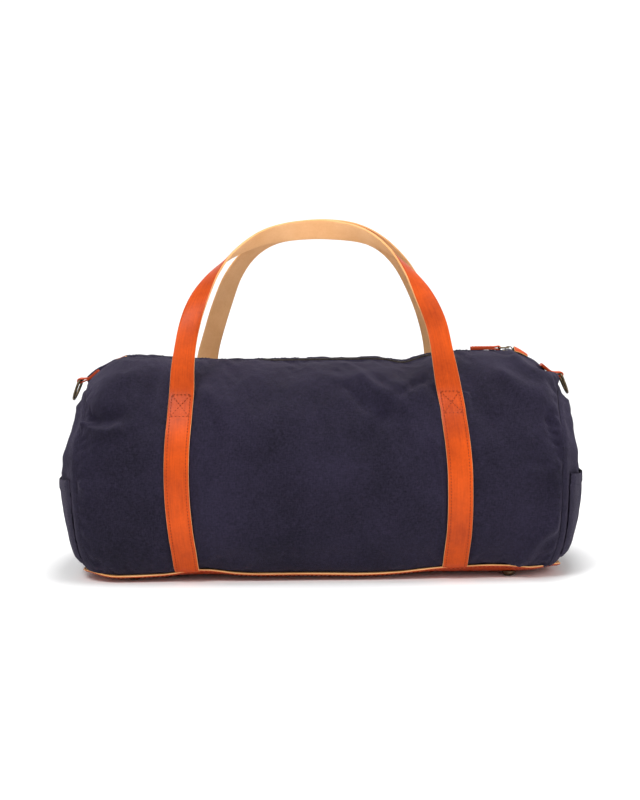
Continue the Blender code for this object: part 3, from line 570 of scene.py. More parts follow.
# Folds of the body's cloth: start (x, z), end (x, z), width and height in millimetres.
FRONT_FOLDS = [
    ((0.040, 0.213), (0.084, 0.181), 8, 3.4), ((0.108, 0.204), (0.052, 0.148), 7, -2.0),
    ((0.070, 0.208), (0.104, 0.190), 8, 1.8), ((-0.010, 0.220), (0.045, 0.209), 6, 1.8),
    ((0.155, 0.206), (0.172, 0.166), 12, -2.4), ((0.188, 0.204), (0.224, 0.186), 10, 3.0),
    ((0.203, 0.222), (0.243, 0.198), 6, 3.4), ((0.214, 0.226), (0.246, 0.207), 6, -3.0),
    ((-0.244, 0.160), (-0.206, 0.157), 5, 3.2), ((-0.240, 0.171), (-0.204, 0.172), 7, -2.4),
    ((-0.162, 0.216), (-0.172, 0.166), 9, -2.4), ((-0.190, 0.212), (-0.226, 0.186), 12, 2.6),
    ((0.214, 0.112), (0.246, 0.117), 6, 2.0), ((0.240, 0.060), (0.212, 0.022), 9, 2.4),
    ((-0.060, 0.150), (0.070, 0.092), 26, 1.6), ((-0.245, 0.105), (-0.216, 0.100), 6, 1.8),
    ((-0.110, 0.190), (-0.040, 0.168), 14, 1.5), ((-0.110, 0.060), (-0.020, 0.044), 18, 1.1),
    ((0.235, 0.160), (0.246, 0.130), 7, -2.2), ((0.030, 0.196), (0.066, 0.172), 7, -1.6),
]
REAR_FOLDS = [
    ((-0.050, 0.212), (-0.092, 0.176), 9, 3.0), ((-0.110, 0.200), (-0.058, 0.150), 8, -2.4),
    ((0.020, 0.218), (0.075, 0.204), 7, 1.8), ((-0.200, 0.220), (-0.242, 0.196), 7, 3.6),
    ((0.205, 0.214), (0.240, 0.186), 9, 3.0), ((0.160, 0.206), (0.168, 0.166), 10, -3.0),
    ((-0.158, 0.208), (-0.176, 0.168), 10, -3.0), ((0.246, 0.150), (0.204, 0.146), 6, 2.6),
    ((0.060, 0.150), (-0.070, 0.092), 28, 1.6), ((-0.240, 0.062), (-0.212, 0.024), 9, 2.2),
    ((0.244, 0.108), (0.214, 0.102), 6, 1.8), ((0.030, 0.066), (0.110, 0.048), 18, 1.2),
]


def fold_height(x, z, folds):
    """Height of soft ridges and valleys that run between points of the body's face."""
    total = np.zeros_like(x)
    for (x0, z0), (x1, z1), width, height in folds:
        length = math.hypot(x1 - x0, z1 - z0)
        along = ((x - x0) * (x1 - x0) + (z - z0) * (z1 - z0)) / length**2
        bow = 0.10 * length * np.sin(np.clip(along, 0, 1) * math.pi)
        across = ((x - x0) * (z1 - z0) - (z - z0) * (x1 - x0)) / length - bow
        past = np.maximum(np.maximum(-along, along - 1), 0) * length
        wide = width * MM * (0.75 + 0.5 * np.clip(along, 0, 1))
        total += 2.4 * height * MM * np.exp(-((across / wide) ** 2) - (past / (1.4 * wide)) ** 2)
    return total * (1 - 0.7 * smooth((z - 0.198) / 0.022))


SHOULDER_ANGLE = float(arch_angle(0.0, upper_depth(0.0, SHOULDER_Z)))
GRID_PITCH = 4 * MM


def even_steps(start, stop):
    return np.linspace(start, stop, round((stop - start) / GRID_PITCH) + 1)


def even_profile():
    """Profile steps of even length: (is on the arch, angle) with one exactly on the shoulder."""
    top = float(arch_angle(0.0, SLOT_HALF_WIDTH))
    dense = [(0, a) for a in np.linspace(0, math.pi / 2, 400)[:-1]]
    dense += [(1, a) for a in np.linspace(0, top, 600)]
    places = np.array([arch_point(0.0, a) if on else lower_point(0.0, a) for on, a in dense])
    length = run_length(places)
    shoulder = next(k for k, (on, a) in enumerate(dense) if on and a >= SHOULDER_ANGLE)
    below = even_steps(0, length[shoulder])
    wanted = np.concatenate([below, even_steps(length[shoulder], length[-1])[1:]])
    steps = [dense[min(int(np.searchsorted(length, want)), len(dense) - 1)] for want in wanted]
    row = len(below) - 1
    steps[row] = (1, SHOULDER_ANGLE)
    return steps, row, wanted


STEPS, SHOULDER_ROW, ALONG = even_profile()


def body_stations():
    half = np.concatenate([even_steps(0, LIP_X), even_steps(LIP_X, HALF_LENGTH)[1:]])
    return np.concatenate([-half[:0:-1], half])


def body_grid(side):
    stations = body_stations()
    top_middle = float(arch_angle(0.0, SLOT_HALF_WIDTH))
    points = np.empty((len(stations), len(STEPS), 3))
    top = arch_angle(stations, slot_edge(stations))
    for j, (on_arch, angle) in enumerate(STEPS):
        if on_arch:
            share = np.clip((angle - SHOULDER_ANGLE) / (top_middle - SHOULDER_ANGLE), 0, 1)
            depth, height = arch_point(stations, angle + (top - top_middle) * share)
        else:
            depth, height = lower_point(stations, angle)
        points[:, j, 1] = side * depth
        points[:, j, 2] = height
    points[..., 0] = raked_x(stations[:, None], points[..., 1])
    return stations, points


def body_holds(stations, points, side):
    """Where the cloth is sewn: base edge, zip edge, end seams and under the straps."""
    held = np.zeros(points.shape[:2])
    held[:, [0, -1]] = 1
    held[[0, -1], :] = 1
    for strap_x in (-STRAP_X[side], STRAP_X[side]):
        under = np.abs(stations - strap_x) < STRAP_WIDTH / 2 + 1 * MM
        held[under, :SHOULDER_ROW] = 1
    return held


def gathers(along, from_seam, depth, pitch, reach):
    """Small puckers along a seam, uneven in width, that die out away from it."""
    waves = np.sin(along * pitch[0] + pitch[1] * np.sin(along * pitch[2]))
    return depth * waves * np.exp(-((from_seam / reach) ** 2))


def worn(points, loose, side, stations, along):
    """Ripples, gathers along the seams and the dip of the end seams."""
    points, normals = np.array(points), grid_normals(points)
    ripple = wavy(points, 5 + side, 0.085) * 0.9 * MM + wavy(points, 9 + side, 0.028, 2) * 0.25 * MM
    row, column = np.arange(len(stations)), np.arange(len(along))
    edge = np.minimum(row, row[::-1])
    calm = smooth(edge / 3.0)[:, None] * smooth(column / 4.0) * smooth(column[::-1] / 4.0)
    from_seam = (edge * GRID_PITCH / 2)[:, None]
    from_hem = np.minimum(along, along[-1] - along)[None, :]
    ripple += gathers(along[None, :], from_seam, 0.9 * MM, (420, 1.6, 77), 13 * MM)
    ripple += gathers(stations[:, None], from_hem, 0.45 * MM, (380, 1.9, 61), 11 * MM)
    seam_dip = 0.9 * MM * bell(from_seam, 0.0, 2.5 * MM)
    return points + normals * (ripple * calm * loose - seam_dip)[..., None]


def dress_body(side):
    """One half of the body's cloth: the sewn part, and the two halves of its zip lip."""
    face = FACES[side]
    stations, points = body_grid(side)
    held = body_holds(stations, points, side)
    if side > 0:
        settled = simulate(points[::-1], held[::-1], 23)[::-1]
    else:
        settled = simulate(points, held, 11)
    folds = fold_height(points[..., 0], points[..., 2], REAR_FOLDS if side > 0 else FRONT_FOLDS)
    settled = settled + grid_normals(points) * (folds * (1 - held))[..., None]
    stations = finer(np.repeat(stations[:, None], 2, 1))[:, 0]
    along = finer(np.repeat(ALONG[:, None], 2, 1))[:, 0]
    loose = np.clip(finer(1 - held), 0, 1)
    points = worn(settle(finer(settled)), loose, side, stations, along)
    normals = grid_normals(points)
    uvs = np.stack(np.broadcast_arrays(stations[:, None], along[None, :]), axis=-1)
    middle = ((stations[:-1] + stations[1:]) / 2)[:, None]
    rows = np.arange(len(along) - 1)[None, :]
    on_lip = np.abs(middle) < LIP_X
    lip = on_lip & (rows >= 2 * SHOULDER_ROW)
    body = cloth_patch(f"{face}_canvas", points, normals, uvs, ~lip, [CANVAS])
    finish_piece(body, "bag", [f"{face}_panel"])
    strip = on_lip & (np.abs(rows - 2 * SHOULDER_ROW + 0.5) < 3)
    behind = points - normals * 2.4 * MM
    backing = cloth_patch(f"{face}_fold_backing", behind, normals, uvs, strip, [CANVAS], 0.6 * MM)
    finish_piece(backing, "bag")
    for end in (-1, 1):
        name = f"{face}_lip_canvas_{ENDS[end]}"
        piece = cloth_patch(name, points, normals, uvs, lip & (middle * end > 0), [CANVAS])
        blend_lip(piece)
        if end < 0:
            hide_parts(f"mouth_lip_{face}")
    return points, normals, stations


def blend_lip(piece):
    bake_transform(piece)


# ------------------------------------------------------------------ ribbons of leather
def catmull(points, steps):
    points = np.asarray(points, float)
    ends = np.concatenate([2 * points[:1] - points[1:2], points, 2 * points[-1:] - points[-2:-1]])
    made = []
    for i in range(1, len(ends) - 2):
        p0, p1, p2, p3 = ends[i - 1 : i + 3]
        for k in range(steps):
            t = k / steps
            curve = 2 * p1 + (p2 - p0) * t + (2 * p0 - 5 * p1 + 4 * p2 - p3) * t * t
            made.append(0.5 * (curve + (3 * p1 - p0 - 3 * p2 + p3) * t**3))
    made.append(points[-1])
    return np.array(made)


def strap_frames(centres, facings):
    """Outward and sideways directions along a ribbon, and the length run so far."""
    along = unit(np.gradient(centres, axis=0))
    out = unit(facings - along * np.sum(facings * along, axis=1, keepdims=True))
    return out, np.cross(along, out), run_length(centres)


def strap_section(width, thickness):
    """Cross-section points (across, out) from the grain face round to the flesh face."""
    half, thick = width / 2, thickness / 2
    r = min(0.75 * MM, thick * 0.8)
    crown = 0.22 * MM
    flat = np.linspace(-half + r, half - r, 9)
    section = [(u, thick - crown * (u / half) ** 4) for u in flat]
    zone = [0] * len(flat)

    def corner(sign, angles):
        for angle in angles:
            middle = thick - crown - r if angle > 0 else r - thick
            u = sign * (half - r + r * math.cos(angle))
            section.append((u, middle + r * math.sin(angle)))
            zone.append(0 if angle > 0.6 else 1)

    corner(1, (0.9, 0.45, -0.45, -0.9))
    section += [(u, -thick) for u in flat[::-1]]
    zone += [2] * len(flat)
    corner(-1, (-0.9, -0.45, 0.45, 0.9))
    return np.array(section), zone


def ribbon(name, centres, facings, width, thickness, widths=1.0, edge=EDGE):
    """A strip of leather along a line: grain outside, flesh inside, a raw edge round it."""
    out, across, run = strap_frames(centres, facings)
    section, zone = strap_section(width, thickness)
    u = section[None, :, 0:1] * np.broadcast_to(widths, len(centres))[:, None, None]
    rings = centres[:, None] + across[:, None] * u + out[:, None] * section[None, :, 1:2]
    count, around = rings.shape[:2]
    paired = zip(zone, zone[1:] + zone[:1])
    materials = [a if a == b else 1 for a, b in paired] * (count - 1) + [1, 1]
    uvs = np.stack(np.broadcast_arrays(run[:, None], section[None, :, 0]), axis=-1).reshape(-1, 2)
    faces = tube_faces(count, around)
    obj = make_mesh(name, rings.reshape(-1, 3), faces, [GRAIN, edge, FLESH], materials, uvs)
    obj.data.set_sharp_from_angle(angle=math.radians(50))
    return obj


def stitch_mesh(name, stitches, radius, material):
    """Short thread capsules; each stitch is (centre, direction, normal, length)."""
    rings, sides = 5, 8
    verts, faces = [], []
    for centre, direction, normal, length in stitches:
        faces += tube_faces(rings, sides, len(verts))
        direction = unit(direction)
        side = np.cross(direction, normal)
        for t in np.linspace(-1, 1, rings):
            swell = radius * math.sqrt(max(1 - t**4, 0.06))
            middle = centre + direction * (t * length / 2)
            for k in range(sides):
                angle = 2 * math.pi * k / sides
                up = swell * math.sin(angle) - 0.55 * radius * t * t
                verts.append(middle + normal * up + side * (1.15 * swell * math.cos(angle)))
    return plain_mesh(name, verts, faces, material)


def stitch_row(line, normals, pitch, length):
    """Stitches spaced evenly along a polyline that lies on a surface."""
    line, normals = np.asarray(line), np.asarray(normals)
    run = run_length(line)
    count = max(int(run[-1] / pitch), 1)
    made = []
    for k in range(count):
        s = (k + 0.5) * run[-1] / count
        ahead = at_length(min(s + 1 * MM, run[-1]), run, line)
        back = at_length(max(s - 1 * MM, 0), run, line)
        up = unit(at_length(s, run, normals))
        made.append((at_length(s, run, line), ahead - back, up, length))
    return made


def sew(name, line, normals, pitch, length, radius, material):
    """A row of stitches as a piece of its own on the bag."""
    stitches = stitch_row(line, normals, pitch * MM, length * MM)
    finish_piece(stitch_mesh(name, stitches, radius * MM, material), "bag")


# Places and grain directions of the handles, repeated from the part.
FRONT_HANDLE = [
    ((-0.1365, -0.0925, 0.224), (0, -1, 0.15)),
    ((-0.1310, -0.0845, 0.258), (-0.10, -1, 0.15)),
    ((-0.1220, -0.0740, 0.286), (-0.35, -0.85, 0.35)),
    ((-0.1070, -0.0590, 0.313), (-0.65, -0.40, 0.60)),
    ((-0.0860, -0.0450, 0.334), (-0.70, 0.10, 0.70)),
    ((-0.0550, -0.0355, 0.3505), (-0.40, 0.60, 0.65)),
    ((-0.0200, -0.0310, 0.357), (-0.06, 0.88, 0.47)),
    ((0.0150, -0.0310, 0.357), (0.06, 0.88, 0.47)),
    ((0.0480, -0.0345, 0.3505), (0.40, 0.60, 0.65)),
    ((0.0760, -0.0430, 0.334), (0.70, 0.10, 0.70)),
    ((0.0960, -0.0560, 0.311), (0.65, -0.40, 0.60)),
    ((0.1100, -0.0700, 0.286), (0.35, -0.85, 0.35)),
    ((0.1210, -0.0815, 0.258), (0.10, -1, 0.15)),
    ((0.1272, -0.0915, 0.224), (0, -1, 0.15)),
]
REAR_HANDLE = [
    ((-0.1280, 0.0925, 0.222), (0, 1, 0.15)),
    ((-0.1190, 0.0830, 0.252), (-0.05, 1, 0.15)),
    ((-0.1080, 0.0690, 0.282), (-0.25, 0.92, 0.25)),
    ((-0.0950, 0.0500, 0.310), (-0.45, 0.80, 0.40)),
    ((-0.0760, 0.0260, 0.333), (-0.50, 0.72, 0.48)),
    ((-0.0510, 0.0010, 0.3495), (-0.35, 0.80, 0.50)),
    ((-0.0220, -0.0190, 0.357), (-0.10, 0.88, 0.47)),
    ((0.0100, -0.0250, 0.3585), (0.06, 0.88, 0.47)),
    ((0.0400, -0.0210, 0.3545), (0.25, 0.84, 0.50)),
    ((0.0660, -0.0050, 0.343), (0.45, 0.75, 0.48)),
    ((0.0880, 0.0200, 0.323), (0.50, 0.74, 0.45)),
    ((0.1050, 0.0470, 0.296), (0.40, 0.82, 0.40)),
    ((0.1180, 0.0690, 0.267), (0.18, 0.94, 0.22)),
    ((0.1270, 0.0870, 0.232), (0, 1, 0.15)),
]
STRAP_HEIGHTS = [
    0.0095, 0.013, 0.018, 0.026, 0.036, 0.050, 0.066, 0.083, 0.099, 0.115, 0.130, 0.143,
    0.155, 0.166, 0.176,
]
# How far the front straps wander sideways from straight, in millimetres at heights.
WANDER_HEIGHTS = [0.010, 0.030, 0.058, 0.090, 0.120, 0.145, 0.168, 0.192]
WANDER = {
    -1: [3.0, 2.0, -1.0, -3.2, -3.4, -2.4, -0.6, 0.4],
    1: [-3.0, -1.6, 1.2, 2.0, 1.6, -0.6, -3.4, -5.6],
}
BOX_HEIGHT = 24 * MM


def strap_leg(x, side):
    """Centre line and facings of the sewn strap, from the base up to the shoulder."""
    line = []
    for z in STRAP_HEIGHTS:
        wander = np.interp(z, WANDER_HEIGHTS, WANDER[int(np.sign(x))]) if side < 0 else 0.0
        line.append((x + wander * MM, side * side_depth(x, z), z))
    line = settle(line)
    out = np.cross(np.array([1.0, 0, 0]), unit(np.gradient(line, axis=0)))
    out *= np.sign(out[:, 1:2] * side)
    return line + out * (0.7 * MM + STRAP_THICK / 2), out


def blend_handle(obj):
    """Bakes the piece's placement into its mesh."""
    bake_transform(obj)


def strap_loop(side, handle):
    """One whole leather strip: up a strap, over the handle and down the other strap."""
    face = FACES[side]
    left, left_out = strap_leg(-STRAP_X[side], side)
    right, right_out = strap_leg(STRAP_X[side], side)
    places, facings = (np.array(column, float) for column in zip(*handle))
    root_y, root_z = side * (HANDLE_HINGE_Y - 0.9 * MM), SHOULDER_Z + 3 * MM
    root = []
    for leg, place in ((left[-1], places[0]), (right[-1], places[-1])):
        share = (root_z - leg[2]) / (place[2] - leg[2])
        root.append(np.array([[leg[0] + share * (place[0] - leg[0]), root_y, root_z]]))
    facing_root = np.array([[0, side, 0.0]])
    centres = catmull(np.concatenate([left, root[0], places, root[1], right[::-1]]), 8)
    grain = [left_out, facing_root, unit(facings), facing_root, right_out[::-1]]
    grain = catmull(np.concatenate(grain), 8)
    widths = 1 - 0.13 * smooth((centres[:, 2] - root_z) / 0.05)
    obj = ribbon(f"{face}_strap_and_handle", centres, grain, STRAP_WIDTH, STRAP_THICK, widths)
    blend_handle(obj)
    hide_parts(f"{face}_handle", f"{face}_left_strap", f"{face}_right_strap")
    for end, line, out, top in ((-1, left, left_out, root[0]), (1, right, right_out, root[1])):
        line, out = np.concatenate([line, top]), np.concatenate([out, facing_root])
        strap_stitches(f"{face}_{ENDS[end]}_strap_stitching", line, out)


def strap_stitches(name, line, out):
    """Both edges of a sewn strap, and a crossed box at its top."""
    up = unit(catmull(out, 10))
    top = catmull(line, 10) + up * (STRAP_THICK / 2 + 0.05 * MM)
    run = run_length(top)
    high = run[-1] - 4.0 * MM
    low = high - BOX_HEIGHT
    inset = STRAP_WIDTH / 2 - 3.0 * MM
    rows = [[(s, edge * inset) for s in np.linspace(4 * MM, high, 60)] for edge in (-1, 1)]
    rows += [[(s, u) for u in np.linspace(-inset, inset, 6)] for s in (low, high)]
    share = np.linspace(0, 1, 12)
    for way in (1, -1):
        rows.append([(low + BOX_HEIGHT * t, way * inset * (2 * t - 1)) for t in share])
    stitches = []
    for row in rows:
        places = [at_length(s, run, top) + (u, 0, 0) for s, u in row]
        normals = [unit(at_length(s, run, up)) for s, u in row]
        stitches += stitch_row(places, normals, 3.2 * MM, 2.1 * MM)
    blend_handle(stitch_mesh(name, stitches, 0.36 * MM, THREAD))


# ------------------------------------------------------------------ ends and their pockets
END_MIDDLE_Z = (BODY_LOW + end_high[2]) / 2


def end_rim(count):
    """(y, z) round the body's end, at even lengths along its profile."""
    angles = np.linspace(0, math.pi / 2, count // 4 + 1)
    half = [lower_point(HALF_LENGTH, a) for a in angles]
    half += [arch_point(HALF_LENGTH, a) for a in angles[1:]]
    half = np.array([(float(y), float(z)) for y, z in half])
    run = run_length(half)
    y, z = (np.interp(np.linspace(0, run[-1], count // 2), run, half[:, c]) for c in (0, 1))
    bottom = np.linspace(-y[0], y[0], 16)[1:-1]
    loop = [(v, z[0]) for v in bottom] + list(zip(y, z)) + list(zip(-y[-2::-1], z[-2::-1]))
    return np.array(loop)


def dome(reach):
    return END_BULGE * np.sqrt(np.maximum(1 - reach**DOME_POWER, 0))


def end_x(y, reach):
    return raked_x(np.full_like(y, END_SEAM_X - 1.3 * MM), y) + dome(reach)


END_FOLDS = [
    ((-0.060, 0.150), (0.040, 0.128), 9, 2.2), ((0.070, 0.160), (0.020, 0.120), 9, -2.2),
    ((-0.085, 0.110), (-0.050, 0.060), 10, 2.0), ((0.085, 0.105), (0.060, 0.050), 10, 2.0),
    ((0.000, 0.185), (0.010, 0.140), 8, -2.2), ((-0.050, 0.175), (-0.085, 0.130), 8, 2.4),
]


def end_panel(end):
    """The domed end: rings of points from the seam to the middle, puckered at the seam."""
    rim = end_rim(120)
    rings = 1 - np.linspace(0, 1, 30) ** 1.15
    rings[-1] = 0.012
    loop = np.concatenate([rim, rim[:1]])
    reach = rings[:, None]
    points = np.empty((len(rings), len(loop), 3))
    points[..., 1] = loop[:, 0] * reach
    points[..., 2] = END_MIDDLE_Z + (loop[:, 1] - END_MIDDLE_Z) * reach
    points[..., 0] = end * end_x(points[..., 1], reach)
    ripple = wavy(points, 31 + end, 0.075) * 1.3 * MM + wavy(points, 41 + end, 0.03, 2) * 0.4 * MM
    ripple += fold_height(points[..., 1], points[..., 2], END_FOLDS)
    inwards = np.array((0.0, 0.0, END_MIDDLE_Z)) - points
    inwards[..., 0] = 0
    dip = unit(inwards) * (0.9 * MM * bell(1 - reach, 0.0, 0.022))[..., None]
    turns = np.arange(points.shape[1])[None, :]
    ripple += gathers(turns, 1 - reach, 0.6 * MM, (1.9, 1.3, 0.37), 0.10)
    ripple *= smooth((1 - reach) / 0.12)
    points = settle(points + grid_normals(points) * ripple[..., None] + dip)
    points[:, -1] = points[:, 0]
    normals = grid_normals(points)
    normals[:, 0] = normals[:, -1] = (normals[:, 1] + normals[:, -2]) / 2
    normals = unit(normals)
    name = f"{ENDS[end]}_end_canvas"
    obj = cloth_patch(name, points, normals, points[..., 1:3], every_cell(points), [CANVAS])
    close_centre(obj)
    finish_piece(obj, "bag", [f"{ENDS[end]}_end_panel"])


def close_centre(obj):
    """Welds the seam column of a ring grid."""
    bm = bmesh.new()
    bm.from_mesh(obj.data)
    bmesh.ops.remove_doubles(bm, verts=bm.verts, dist=0.02 * MM)
    bm.to_mesh(obj.data)
    bm.free()


POCKET_LOW, POCKET_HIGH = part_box("right_end_pocket")


def reach_of(y, z):
    """Share of the way from the end's middle to its rim, at points of the end panel."""
    y, z = np.abs(y), np.asarray(z, float)
    near, far = np.ones_like(y), np.full_like(y, 1000.0)
    for _ in range(36):
        stretch = (near + far) / 2
        py, pz = y * stretch, END_MIDDLE_Z + (z - END_MIDDLE_Z) * stretch
        edge = np.where(pz > BELLY_Z, upper_depth(HALF_LENGTH, pz), lower_depth(HALF_LENGTH, pz))
        within = (py < edge) & (pz > BODY_LOW) & (pz < end_high[2])
        near, far = np.where(within, stretch, near), np.where(within, far, stretch)
    return 1 / near


def end_pocket(end):
    """A slip pocket over the lower half of an end, with a hemmed mouth that gapes."""
    low, top = POCKET_LOW[2], POCKET_HIGH[2]
    rows, columns = 46, 72
    hem = 0.86
    up, across = np.linspace(0, 1, rows)[:, None], np.linspace(-1, 1, columns)[None, :]
    height = low + (top - low) * up
    half = 0.93 * np.array([float(side_depth(HALF_LENGTH, z)) for z in height[:, 0]])
    y = half[:, None] * across
    z = np.repeat(height, columns, 1)
    mouth, free = smooth(up), 1 - across**2
    out = end_x(y, reach_of(y, z)) + 3.0 * MM + free * mouth * 6.5 * MM
    points = np.stack([out, y, z - 8 * MM * mouth * free], axis=-1)
    points[..., 0] += wavy(points, 51 + end, 0.06) * 1.2 * MM * smooth(free * 1.5)
    points[..., 0] += smooth((up - hem) / 0.02) * 0.7 * MM - 0.5 * MM * bell(up, hem, 0.012)
    edge = np.maximum(np.abs(across) - 0.965, 0) / 0.035
    points[..., 0] -= 1.6 * MM * smooth(edge) + 1.4 * MM * smooth(1 - up / 0.05)
    points[..., 0] *= end
    points = settle(points)
    normals = grid_normals(points)
    name, uvs, cells = f"{ENDS[end]}_end_pocket_canvas", points[..., 1:3], every_cell(points)
    obj = cloth_patch(name, points, normals, uvs, cells, [CANVAS], 1.8 * MM)
    finish_piece(obj, "bag", [f"{ENDS[end]}_end_pocket"])
    row = int(np.argmin(np.abs(up - hem - 0.005)))
    seams = [(row, slice(3, -3)), (slice(1, -1), 2), (slice(1, -1), columns - 3)]
    stitches = []
    for seam in seams:
        line = points[seam] + normals[seam] * 0.1 * MM
        stitches += stitch_row(line, normals[seam], 3.4 * MM, 2.5 * MM)
    thread = stitch_mesh(f"{ENDS[end]}_pocket_stitching", stitches, 0.3 * MM, NAVY_THREAD)
    finish_piece(thread, "bag")


# ------------------------------------------------------------------ base, feet and lining
def rounded_outline(half_u, half_v, corner, steps):
    """A rectangle with round corners, with points about 5 mm apart along its straight sides."""
    inner = np.array((half_u - corner, half_v - corner))
    signs = ((1, 1), (-1, 1), (-1, -1), (1, -1))

    def at(quarter, share):
        angle = (quarter + share) * math.pi / 2
        return inner * signs[quarter % 4] + corner * np.array((math.cos(angle), math.sin(angle)))

    made = []
    for quarter in range(4):
        made += [at(quarter, k / steps) for k in range(steps + 1)]
        start, stop = made[-1], at(quarter + 1, 0)
        pieces = max(int(np.linalg.norm(stop - start) / (5 * MM)), 1)
        made += [start + (stop - start) * k / pieces for k in range(1, pieces)]
    return np.array(made)


def base_sheet():
    """The base: one thick sheet whose raw edge shows, dished down a little in its middle."""
    half_x, half_y = BASE_HALF_LENGTH - 4 * MM, base_high[1] + 3.2 * MM
    outline = rounded_outline(half_x, half_y, 40 * MM, 16)
    # Inset and height in millimetres, and the material of the band that ends there.
    profile = [
        (30.0, 8.6, 0), (3.0, 8.7, 0), (0.7, 8.8, 1), (0.25, 8.6, 1), (0.0, 8.2, 1), (0.0, 7.6, 1),
        (0.25, 7.0, 2), (0.8, 6.5, 2), (3.0, 6.0, 2), (6.0, 5.6, 2), (10.0, 5.1, 2), (15.0, 4.7, 2),
        (22.0, 4.4, 2), (45.0, 4.1, 2), (70.0, 4.1, 2),
    ]
    points = np.empty((len(profile), len(outline), 3))
    for ring, (inset, height, _) in zip(points, profile):
        x = outline[:, 0] * (1 - inset * MM / half_x)
        y = outline[:, 1] * (1 - inset * MM / half_y)
        front, rear = (smooth((side * y / half_y - 0.55) / 0.4) for side in (-1, 1))
        lift = front * rim_lift(x, -1) + rear * rim_lift(x, 1)
        corner = smooth((np.abs(x) - 0.205) / 0.04) * (front + rear) * 4 * MM
        rise = (lift + corner) * (1 - smooth(inset / 24.0))
        ring[:] = np.column_stack([x, y, height * MM + rise])
    points[..., 2] += wavy(points, 71, 0.12) * 0.4 * MM
    count = len(outline)
    faces = tube_faces(len(profile), count, outward=False)
    materials = [band for _, _, band in profile[1:] for _ in range(count)] + [0, 2]
    verts = points.reshape(-1, 3)
    finishes = [FLESH, EDGE, BASE_GRAIN]
    obj = make_mesh("base_leather_sheet", verts, faces, finishes, materials, verts[:, :2])
    obj.data.set_sharp_from_angle(angle=math.radians(60))
    finish_piece(obj, "bag", ["base_leather"])
    line = np.concatenate([points[8], points[8, :1]])
    down = unit(line * np.array((0.1, 0.3, 0.0)) - np.array((0.0, 0.0, 0.12)))
    sew("base_stitching", line + down * 0.1 * MM, down, 4.5, 3.2, 0.4, THREAD)


def turned(name, profile, material, steps=48):
    """A solid of revolution about the vertical."""
    angles = 2 * math.pi * np.arange(steps) / steps
    verts = [(r * math.cos(a), r * math.sin(a), height) for r, height in profile for a in angles]
    faces = tube_faces(len(profile), steps, outward=False)
    return plain_mesh(name, verts, faces, material, 45)


def feet():
    for face in FACES.values():
        for end in ENDS.values():
            low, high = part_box(f"foot_{face}_{end}")
            radius = (high[0] - low[0]) / 2
            top = base_low[2] - 0.3 * MM
            flange = top - 1.0 * MM
            profile = [(radius * 0.96, top), (radius, top - 0.5 * MM), (radius, flange)]
            for angle in math.pi / 2 * np.arange(1, 9) / 9:
                wide = radius * (0.58 + 0.42 * math.cos(angle)) * 0.99
                profile.append((wide, flange * (1 - math.sin(angle))))
            profile.append((radius * 0.50, 0.0))
            obj = turned(f"foot_{face}_{end}_stud", profile, BRASS)
            centre = ((low[0] + high[0]) / 2, (low[1] + high[1]) / 2, 0)
            obj.data.transform(Matrix.Translation(centre))
            finish_piece(obj, "bag", [f"foot_{face}_{end}"])


def lining():
    """The cotton bag inside, gathered a little, open along its top."""
    inset = 10.5 * MM
    levels = np.concatenate([[0.0172, 0.021], np.linspace(0.030, SHOULDER_Z - 5 * MM, 24)])
    half_x = HALF_LENGTH - 12 * MM
    columns = np.linspace(-half_x, half_x, 60)
    loop = [(x, -1) for x in columns] + [(x, 1) for x in columns[::-1]]
    count = len(loop)
    points = np.empty((len(levels), count, 3))
    for i, z in enumerate(levels):
        for k, (x, side) in enumerate(loop):
            y = side * (float(side_depth(x, z)) - inset)
            points[i, k] = (float(raked_x(x, y)), y, z)
    pull = unit((np.array((0, 0, 0.104)) - points) * np.array((0.2, 1, 0.6)))
    depth = (wavy(points, 61, 0.05) + 1.0) * 1.1 * MM
    flat = settle(points + pull * depth[..., None]).reshape(-1, 3)
    faces = tube_faces(len(levels), count, outward=False)[:-2]
    faces += [(k, k + 1, count - 2 - k, count - 1 - k) for k in range(count // 2 - 1)]
    obj = make_mesh("lining_cloth", flat, faces, [LINING], uvs=flat[:, [0, 2]])
    solid = obj.modifiers.new("thickness", "SOLIDIFY")
    solid.thickness = 0.7 * MM
    solid.offset = 0.0
    finish_piece(obj, "bag", ["lining"])


# ------------------------------------------------------------------ zip
CHAIN_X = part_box("zip_teeth_front_right")[1][0]
TOOTH_PITCH = 2.6 * MM
TEETH_LOW, TEETH_HIGH = (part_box("zip_teeth_front_mid")[k][2] for k in (0, 1))
TAPE_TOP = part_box("zip_tape_front_mid")[1][2]
PLATE_LOW, PLATE_HIGH = 0.2258, 0.2271


def box_verts(low, high, taper):
    """A block whose top is drawn in a little, as eight corners and six faces."""
    (x0, y0, z0), (x1, y1, z1) = low, high
    tx, ty = taper
    verts = [(x0, y0, z0), (x1, y0, z0), (x1, y1, z0), (x0, y1, z0)]
    verts += [(x0 + tx, y0 + ty, z1), (x1 - tx, y0 + ty, z1)]
    verts += [(x1 - tx, y1 - ty, z1), (x0 + tx, y1 - ty, z1)]
    faces = [(3, 2, 1, 0), (4, 5, 6, 7), (0, 1, 5, 4), (1, 2, 6, 5), (2, 3, 7, 6), (3, 0, 4, 7)]
    return verts, faces


